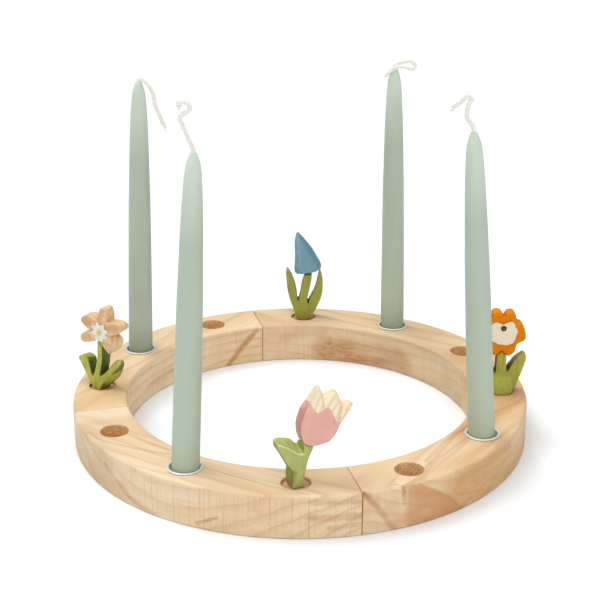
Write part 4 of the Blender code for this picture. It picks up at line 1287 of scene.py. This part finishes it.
@dataclass
class Bluebell:
    """A blue bell of knife-cut facets between two narrow leaves."""

    stand: Stand = Stand(5, -104.1)

    def build(self) -> None:
        """Make the bluebell."""
        carver = Carver(self.stand)
        path = self.stand.path
        green = PaintFinish(
            "bluebell_green", linear(164, 163, 66), linear(74, 76, 14), linear(190, 190, 104),
            hollow_shade=0.9, wear=0.25, seed=0.4, front_deg=self.stand.facing_deg, side_shade=0.6,
        )
        carver.carve("bluebell_leaves_and_stem", "bluebell_stem_and_leaves", "leaf_green", green, rounding=6)
        # painted highlight along a lit facet, and painted shade down both sides of the bell
        edge_highlight = path((-6.0, -3.0, 86.0), (-4.6, -6.0, 68.0), (-3.6, -7.4, 50.0))
        left_shade = path((-8.4, -2.0, 82.0), (-8.8, -3.0, 66.0), (-8.8, -3.0, 50.0))
        right_shade = path((-1.0, -3.0, 84.0), (9.0, -5.0, 68.0), (17.0, -4.0, 53.0))
        blue = PaintFinish(
            "bell_paint", linear(118, 160, 176), linear(66, 106, 128), linear(156, 188, 200),
            wear=0.7, hollow_shade=0.4, seed=0.7,
            marks=(
                Stain(edge_highlight, 0.8, 1.8, 0.5, linear(150, 186, 200), 0.6),
                Stain(left_shade, 0.8, 1.4, 0.6, linear(78, 118, 138), 0.4),
                Stain(right_shade, 1.6, 2.6, 0.5, linear(84, 126, 148), 0.6),
            ),
        )
        carver.carve("blue_bell", "bluebell_bell", "bell_blue", blue, 0.35, 2, None)
        carver.peg("bluebell", 0.6)


@dataclass
class Daffodil:
    """Five thick bare petals with a white star and a yellow centre, and two wide leaves."""

    stand: Stand = Stand(8, -135.4, -1.5)
    centre_place: Point = (5.5, -7.6, 54.4)
    star_front: float = -7.6
    star_back: float = -6.8
    star_points: int = 8
    star_reach: float = 9.2
    star_notch: float = 6.3
    star_turn: float = 0.3

    def star_outline(self) -> Profile:
        """The white star's blunt points and the notches between them, as (across, up) points."""
        across, _, up = self.centre_place
        blunt = 0.94 * self.star_reach
        outline = []
        for point in range(self.star_points):
            corners = ((-0.16, blunt), (0.0, self.star_reach), (0.16, blunt), (0.5, self.star_notch))
            for turn, reach in corners:
                angle = 2.0 * math.pi * (point + turn + self.star_turn) / self.star_points
                outline.append((across + reach * math.cos(angle), up + reach * math.sin(angle)))
        return outline

    def build(self) -> None:
        """Make the daffodil."""
        carver = Carver(self.stand)
        green = PaintFinish(
            "daffodil_green", linear(188, 192, 82), linear(42, 50, 6), linear(196, 200, 108),
            hollow_shade=1.0, wear=0.2, seed=0.2, front_deg=self.stand.facing_deg, side_shade=0.75,
        )
        carver.carve("daffodil_leaves_and_stem", "daffodil_stem_and_leaves", "leaf_green", green)
        # painted shade: brown in the scooped hollows of the petals
        streaks = (
            ((-14.5, -6.0, 59.0), (-7.0, -6.0, 60.0)),
            ((-15.0, -6.0, 43.5), (-8.0, -6.0, 46.0)),
            ((13.0, -6.0, 58.5), (22.0, -6.0, 58.5)),
            ((8.0, -6.0, 43.0), (13.0, -6.0, 37.5)),
            ((5.5, -6.0, 66.0), (7.0, -6.0, 72.0)),
        )
        brown = linear(208, 154, 104)
        wood = PineFinish(
            "daffodil_bare_wood", 40.0, (-40.0, 70.0), 4.5,
            linear(240, 214, 172), linear(228, 190, 142), linear(184, 132, 84),
            saw_strength=0.15, late_strength=0.55,
            stains=tuple(Stain(self.stand.path(*ends), 1.4, 3.4, 0.6, brown) for ends in streaks),
        )
        carver.carve("daffodil_bare_petals", "daffodil_petals", "daffodil_wood", wood)
        star = carver.slab(self.star_outline(), self.star_front, self.star_back)
        star.name = star.data.name = "daffodil_white_star"
        carver.rub(star, 0.2, 4)
        Bench.smooth(star, ROUND_ALL_DEG)
        # the blue-grey dark colour makes the star's brush streaks and the painted shade in its hollows
        white = PaintFinish("star_paint", linear(240, 238, 234), linear(186, 194, 204), linear(250, 248, 244))
        Bench.fit(star, white.build(), "star_white", "daffodil_star")
        yellow = PaintFinish(
            "centre_paint", linear(238, 204, 84), linear(212, 162, 50), linear(246, 222, 130)
        )
        centre = carver.rough_out("daffodil_yellow_centre", ("daffodil_centre",), 0.15, 4)
        middle = Vector(self.stand.at(*self.centre_place)) * MM
        bpy.ops.transform.resize(value=(0.8, 0.8, 0.8), center_override=middle)
        Bench.settle(centre)
        Bench.smooth(centre, ROUND_ALL_DEG)
        Bench.fit(centre, yellow.build(), "centre_yellow", "daffodil_centre")
        carver.peg("daffodil", 0.9)


@dataclass
class Pansy:
    """An orange pansy with a cream face and a brown eye, on a thick foot between two leaves."""

    stand: Stand = Stand(2, -104.5)
    foot_top: float = 0.0

    def build(self) -> None:
        """Make the pansy."""
        carver = Carver(self.stand)
        front = self.stand.facing_deg
        green = PaintFinish(
            "pansy_green", linear(176, 174, 68), linear(64, 64, 10), linear(192, 188, 96),
            hollow_shade=1.0, wear=0.2, seed=0.5, front_deg=front, side_shade=0.9,
        )
        knife = (9.0, 0.5)
        carver.carve("pansy_leaves_and_stem", "pansy_stem_and_leaves", "leaf_green", green, 0.45, knife=knife)
        orange = PaintFinish(
            "orange_paint", (0.80, 0.25, 0.004), (0.43, 0.065, 0.001), (0.90, 0.42, 0.05),
            hollow_shade=0.8, shine=0.05, seed=0.1, front_deg=front, side_shade=0.9,
        )
        carver.carve("pansy_orange_petals", "pansy_petals", "pansy_orange", orange, 0.4, 6, (10.0, 0.4))
        cream = PaintFinish(
            "cream_paint", linear(246, 234, 210), linear(216, 196, 160), linear(250, 244, 228), hollow_shade=0.4
        )
        carver.carve("pansy_cream_face", "pansy_face", "face_cream", cream, 0.2, 5, None)
        centre = self.stand.path((0.3, -8.6, 61.8), (0.3, -9.4, 61.8))
        glint = Stain(centre, 0.3, 0.5, 0.8, linear(170, 132, 104), 0.1)
        brown = PaintFinish(
            "eye_paint", linear(70, 40, 24), linear(40, 22, 12), linear(130, 92, 70), wear=0.2, marks=(glint,)
        )
        carver.carve("pansy_brown_eye", "pansy_eye", "eye_brown", brown, 0.15, 4, None)
        carver.peg("pansy", 1.2, self.foot_top)


# Studio


@dataclass
class Studio:
    """A pale floor, soft light from the left and the photograph's camera."""

    floor_reach: float = 60.0
    overhead: float = 1.46
    behind: float = 0.08
    in_front: float = 0.84
    dim_left: float = 0.95
    dim_right: float = 0.45
    sky_power: float = 2.6
    sun_strength: float = 1.08
    sun_from: Point = (-0.36, 0.32, 0.88)
    sun_softness_deg: float = 34.0
    eye: Point = (-283.1, -1139.9, 566.5)
    heading_deg: float = 13.95
    down_deg: float = 20.76
    lens: float = 86.6

    def build(self) -> None:
        """Set up the floor, the lights, the camera and the picture's colours."""
        Bench.clear()
        bpy.ops.mesh.primitive_plane_add(size=self.floor_reach, location=(0.0, 0.0, -0.0002))
        floor = bpy.context.object
        floor.name = "paper_floor"
        Bench.settle(floor)
        floor.data.materials.append(FloorFinish("paper", (0.91, 0.945, 0.98), (0.895, 0.93, 0.965)).build())
        scene = bpy.context.scene
        scene.world = self.surroundings()
        sun_turn = Vector(self.sun_from).to_track_quat("Z", "Y").to_euler()
        bpy.ops.object.light_add(type="SUN", location=self.sun_from, rotation=sun_turn)
        sun = bpy.context.object.data
        sun.energy = self.sun_strength
        sun.angle = math.radians(self.sun_softness_deg)
        heading, down = math.radians(self.heading_deg), math.radians(self.down_deg)
        level = Vector((math.sin(heading), math.cos(heading), 0.0))
        forward = math.cos(down) * level - math.sin(down) * UP
        camera_turn = forward.to_track_quat("-Z", "Y").to_euler()
        bpy.ops.object.camera_add(location=Vector(self.eye) * MM, rotation=camera_turn)
        camera = bpy.context.object
        camera.data.lens = self.lens
        camera.data.sensor_width = 36.0
        scene.camera = camera
        scene.view_settings.view_transform = "Standard"

    def surroundings(self) -> bpy.types.World:
        """A room that is bright overhead and in front, and dim at the sides."""
        graph = SkyGraph("soft_room")
        upwards = graph.math("MAXIMUM", graph.part(graph.place, Axis.HEIGHT), 0.0)
        rise = graph.math("POWER", upwards, self.sky_power)
        heading = math.radians(self.heading_deg)
        front = graph.vector("DOT_PRODUCT", graph.place, (-math.sin(heading), -math.cos(heading), 0.0))
        right = graph.vector("DOT_PRODUCT", graph.place, (math.cos(heading), -math.sin(heading), 0.0))
        level = graph.spread(front, -0.3, 0.9, self.behind, self.in_front)
        for side, dim in ((right, self.dim_right), (graph.times(right, -1.0), self.dim_left)):
            level = graph.times(level, graph.spread(side, 0.25, 1.0, 1.0, 1.0 - dim))
        graph.put(graph.background.inputs["Strength"], graph.plus(level, graph.times(rise, self.overhead)))
        graph.background.inputs["Color"].default_value = (1.0, 1.0, 1.0, 1.0)
        return graph.world


def board(number: int, drifts: tuple[float, float, float], name: str, **looks: object) -> PineFinish:
    """The finish of a quarter's board, with its three holes.

    Args:
        number: The quarter's number, counted anticlockwise from the front.
        drifts: How far each hole sits from its even spacing, in degrees.
        name: The quarter's place.
        looks: Further fields of the finish.

    Returns:
        The finish.
    """
    holes = []
    for step, radius in enumerate((SOCKET_RADIUS, BORE_RADIUS, SOCKET_RADIUS)):
        place = tuple(hole_place(HOLES_PER_QUARTER * number + step, drifts[step]))
        torn = number == 0 and step == 0
        holes.append(Drilled(place, radius, TORN_HOLE_FLECKS if torn else 0.0))
    return PineFinish(f"pine_{name}", 135.0 - 90.0 * number, holes=tuple(holes), **looks)


def front_right_stains() -> tuple[Stain, ...]:
    """The knotty end of the front right board: cracks, a band, and broad tan streaks."""
    band = ((0.8, -200.0, 36.0), (10.6, -199.7, 24.3), (17.9, -199.2, 13.6), (26.5, -198.2, 0.0))
    beside_band = ((4.0, -200.0, 37.0), (14.6, -199.5, 23.0), (21.0, -198.9, 13.6), (30.0, -197.8, 0.0))
    patch_edge = (
        (34.0, -197.0, 36.4), (48.7, -194.0, 34.7), (62.9, -189.8, 25.5), (75.6, -185.2, 16.6),
        (92.0, -177.6, 0.4),
    )
    smear = (
        (87.9, -179.6, 28.2), (102.6, -171.7, 29.4), (116.1, -162.8, 31.4), (130.9, -151.2, 33.0),
        (142.2, -140.7, 31.0),
    )
    wide_streak = on_top(
        (36.9, -195.2), (49.3, -187.3), (60.0, -172.5), (79.9, -148.7), (103.7, -120.5), (134.0, -96.3),
        (177.7, -73.7),
    )
    clouded_end = on_top((120.0, -110.0), (168.0, -60.0), (172.0, -10.0))
    fine_streak = on_top((63.8, -161.1), (90.5, -130.7), (121.0, -107.1), (162.1, -82.6), (191.1, -68.4))
    line = on_top((33.2, -197.0), (49.8, -190.6), (71.9, -162.2), (114.4, -125.1), (149.1, -104.1))
    outer_wall = ((96.0, -176.0, 18.0), (150.0, -132.0, 16.0), (186.0, -74.0, 18.0))
    return (
        Stain(band, 1.0, 2.4, 0.95, linear(166, 108, 66), 0.8),
        Stain(beside_band, 0.1, 3.0, 0.4, STAIN_BROWN, 1.2),
        Stain(((3.0, -200.0, 16.0), (34.0, -197.0, 16.0)), 14.0, 8.0, 0.55, linear(220, 176, 130), 3.0),
        Stain(((33.6, -197.1, 37.0), (34.8, -197.0, 22.0)), 0.5, 2.2, 0.8, linear(176, 118, 74), 0.8),
        Stain(((28.0, -193.0, 37.0), (33.4, -197.0, 36.6)), 0.3, 1.0, 0.7, STAIN_BROWN, 0.5),
        Stain(line, 0.2, 2.2, 0.4, STAIN_BROWN, 1.0),
        Stain(patch_edge, 0.2, 1.8, 0.6, STAIN_BROWN, 1.0),
        Stain(clouded_end, 14.0, 34.0, 0.5, linear(206, 160, 116), 8.0),
        Stain(smear, 1.0, 7.5, 0.8, linear(196, 142, 94)),
        Stain(wide_streak, 0.5, 2.8, 0.6, linear(196, 144, 96), 0.8),
        Stain(fine_streak, 0.3, 2.4, 0.5, STAIN_BROWN, 0.8),
        Stain(((24.0, -198.4, 20.0), (31.0, -197.4, 8.0)), 2.0, 9.0, 0.7, linear(212, 158, 112), 3.0),
        Stain(outer_wall, 12.0, 30.0, 0.8, linear(208, 160, 104), 4.0),
        Stain(((175.0, -96.0, 14.0), (199.0, -20.0, 16.0)), 6.0, 20.0, 0.5, linear(198, 150, 98), 6.0),
    )


def back_right_stains() -> tuple[Stain, ...]:
    """Tan clouds and a streak on the back right board's inner wall, and painted shade over it."""
    cloud = ((60.0, 141.0, 12.0), (96.0, 119.0, 9.0), (123.0, 91.0, 14.0))
    shade = ((126.0, 88.0, 20.0), (147.2, 41.9, 18.0), (152.8, 7.1, 18.0))
    return (
        Stain(cloud, 5.0, 15.0, 1.0, linear(186, 130, 80), 4.0),
        Stain(((20.0, 151.6, 24.0), (60.0, 140.7, 31.0)), 1.0, 6.0, 0.35, STAIN_BROWN, 3.0),
        # painted shade: a broad greyish tan darkening over the inner wall, which faces the light from the left
        Stain(shade, 14.0, 30.0, 0.45, linear(196, 168, 132), 4.0),
    )


def back_left_stains() -> tuple[Stain, ...]:
    """A band and a streak on the back left board's inner wall, and its tan end."""
    band = ((-5.8, 152.9, 33.9), (-22.0, 151.4, 17.0), (-36.4, 148.6, 0.2))
    streak = ((-124.0, 89.6, 13.8), (-110.2, 106.2, 13.3), (-95.5, 119.5, 14.4))
    end = on_top((-194.0, 10.0), (-164.6, 24.2), (-160.0, 60.0))
    return (
        Stain(band, 0.4, 4.0, 0.8, linear(190, 138, 92), 1.5),
        Stain(streak, 0.4, 3.4, 0.6, STAIN_BROWN, 1.2),
        Stain(end, 6.0, 24.0, 0.6, linear(216, 174, 118), 4.0),
    )


def front_left_stains() -> tuple[Stain, ...]:
    """The front left board's pale end, the streaks on its top, painted shade on its left wall, and the lines
    near the front seam.
    """
    outer_streak = on_top((-192.0, -44.0), (-182.7, -62.8), (-162.7, -79.9), (-143.4, -93.2), (-133.7, -99.3))
    inner_streak = on_top((-166.0, -50.0), (-158.3, -59.3), (-145.7, -75.8), (-132.6, -92.2))
    line = on_top((-40.5, -192.8), (-65.6, -172.9), (-111.0, -128.8))
    wall_streak = ((-183.0, -80.0, 24.0), (-166.3, -111.1, 6.0), (-150.6, -131.6, 0.5))
    return (
        Stain(((-195.2, -43.8, 20.0), (-188.9, -65.8, 1.5)), 1.2, 4.5, 0.5, STAIN_BROWN),
        # painted shade: a broad greyish darkening over the left end of the outer wall, which faces the light
        Stain(((-200.0, -14.0, 16.0), (-184.0, -76.0, 14.0)), 14.0, 36.0, 0.5, linear(196, 172, 138), 4.0),
        Stain(on_top((-198.0, -6.0), (-152.0, -6.0)), 6.0, 16.0, 0.7, linear(240, 223, 196), 3.0),
        Stain(outer_streak, 0.4, 2.2, 0.6, STAIN_BROWN, 0.8),
        Stain(inner_streak, 0.3, 2.6, 0.5, STAIN_BROWN, 0.8),
        Stain(wall_streak, 0.1, 4.0, 0.65, STAIN_BROWN, 1.5),
        Stain(((-122.2, -158.4, 4.6), (-108.3, -168.1, 12.5)), 0.1, 2.4, 0.6, PINE_BROWN, 1.6),
        Stain(((-41.5, -195.7, 37.0), (-41.5, -195.7, 0.0)), 0.2, 0.9, 0.5, STAIN_BROWN, 0.3),
        Stain(line, 0.1, 1.3, 0.6, STAIN_BROWN, 0.5),
        Stain(((-40.0, -196.0, 31.5), (-2.0, -200.0, 29.5)), 0.8, 3.2, 0.55, STAIN_BROWN, 1.4),
        Stain(((-40.0, -196.0, 18.0), (-2.0, -200.0, 17.5)), 1.6, 3.0, 0.65, STAIN_BROWN, 1.4),
        Stain(((-26.0, -198.3, 9.0), (-2.0, -200.0, 10.0)), 0.8, 2.6, 0.6, STAIN_BROWN, 1.2),
    )


def ring_quarters() -> list[RingQuarter]:
    """The four quarters, each with its own board and marks."""
    patch_edge = [(34.0, 36.0), (48.7, 34.7), (62.9, 25.5), (75.6, 16.6), (84.6, 8.5), (92.0, 0.0)]
    quarters = (
        ("front_right", (0.3, 0.0, 0.0), {
            "pith": (120.0, -60.0), "ring_spacing": 9.0, "seed": 0.31, "stains": front_right_stains(),
            "patches": (Patch(patch_edge, linear(202, 142, 90), 0.9),),
        }),
        ("back_right", (0.4, 0.0, 0.0), {
            "pith": (110.0, -70.0), "ring_spacing": 9.5, "seed": 0.72, "stains": back_right_stains(),
            "pale": linear(230, 207, 170), "warm": linear(222, 190, 148), "late": linear(194, 150, 104),
            "speckle_strength": 0.4,
        }),
        ("back_left", (0.3, 0.0, -1.5), {
            "pith": (120.0, -50.0), "ring_spacing": 9.0, "seed": 0.15, "stains": back_left_stains(),
            "pale": linear(238, 216, 180), "warm": linear(231, 201, 160), "late": linear(198, 152, 104),
        }),
        ("front_left", (0.0, 0.0, 0.0), {
            "pith": (120.0, -40.0), "ring_spacing": 9.5, "seed": 0.5, "stains": front_left_stains(),
            "saw_strength": 0.5, "speckle_strength": 0.55,
        }),
    )
    return [
        RingQuarter(place, number, board(number, drifts, place, **looks), drifts)
        for number, (place, drifts, looks) in enumerate(quarters)
    ]


def candles() -> list[DippedCandle]:
    """The four candles, each with the lean and the curled wick of its own."""
    # lit and shaded copies of one sage wax: the left and back candles get darker feet as painted shade
    front = WaxFinish("sage_wax_front", linear(184, 196, 178), linear(180, 190, 166))
    left = WaxFinish("sage_wax_left", linear(180, 191, 173), linear(154, 164, 140))
    back = WaxFinish("sage_wax_back", linear(179, 191, 172), linear(164, 172, 150))
    cotton = CottonFinish("waxed_cotton")
    front_left = [
        (-1.6, 0.0, 5.5), (-7.3, 0.4, 20.0), (-9.2, 0.8, 25.6), (-7.6, 1.2, 28.6), (-3.4, 1.4, 30.8),
        (-1.6, 1.2, 33.4), (-3.0, 0.8, 36.2), (-6.6, 0.2, 37.8), (-9.9, -0.4, 36.8), (-10.2, -0.8, 34.4),
    ]
    back_left = [
        (2.2, 0.3, 2.6), (6.0, 0.8, 0.3), (11.2, 1.4, -7.0), (13.0, 1.8, -12.5), (14.2, 2.0, -20.5),
        (17.4, 2.2, -29.0), (20.4, 2.4, -37.0),
    ]
    back_right = [
        (1.6, -0.6, 3.0), (7.1, -1.6, 5.0), (13.4, -1.4, 6.2), (17.8, -0.4, 4.8), (19.0, 1.2, 1.6),
        (16.6, 2.6, -0.4), (11.0, 3.4, 1.0), (5.4, 3.9, 2.0), (0.6, 4.3, 1.2), (-3.4, 4.0, -1.6),
        (-6.4, 3.6, -4.6),
    ]
    front_right = [
        (-1.0, 0.2, 4.6), (-5.6, 0.4, 11.2), (-6.0, 0.6, 17.6), (-4.9, 0.8, 22.4), (-3.0, 0.8, 25.6),
        (-4.6, 0.2, 28.4), (-8.0, -1.2, 26.8), (-11.2, -2.4, 22.8), (-14.6, -3.2, 20.4),
    ]
    return [
        DippedCandle("front_left", 10, 2.9, front_left, front, cotton, 6, 2.4, seed=3),
        DippedCandle("back_left", 7, 1.8, back_left, left, cotton, 9, 5.0, seed=5, fray_spread=1.2),
        DippedCandle("back_right", 4, -0.8, back_right, back, cotton, 10, 3.6, seed=7),
        DippedCandle("front_right", 1, -3.8, front_right, front, cotton, 14, 2.6, seed=11, fray_spread=1.5),
    ]


def main() -> None:
    """Build every piece in order."""
    logging.basicConfig(level=logging.INFO, format="%(name)s %(message)s")
    tin = TinFinish("pressed_tin")
    for quarter in ring_quarters():
        quarter.build()
    for candle in candles():
        CandleCup(candle.place, candle.index, tin).build()
        candle.build()
    for flower in (Tulip(), Bluebell(), Daffodil(), Pansy()):
        flower.build()
    Studio().build()


if __name__ == "__main__":
    main()
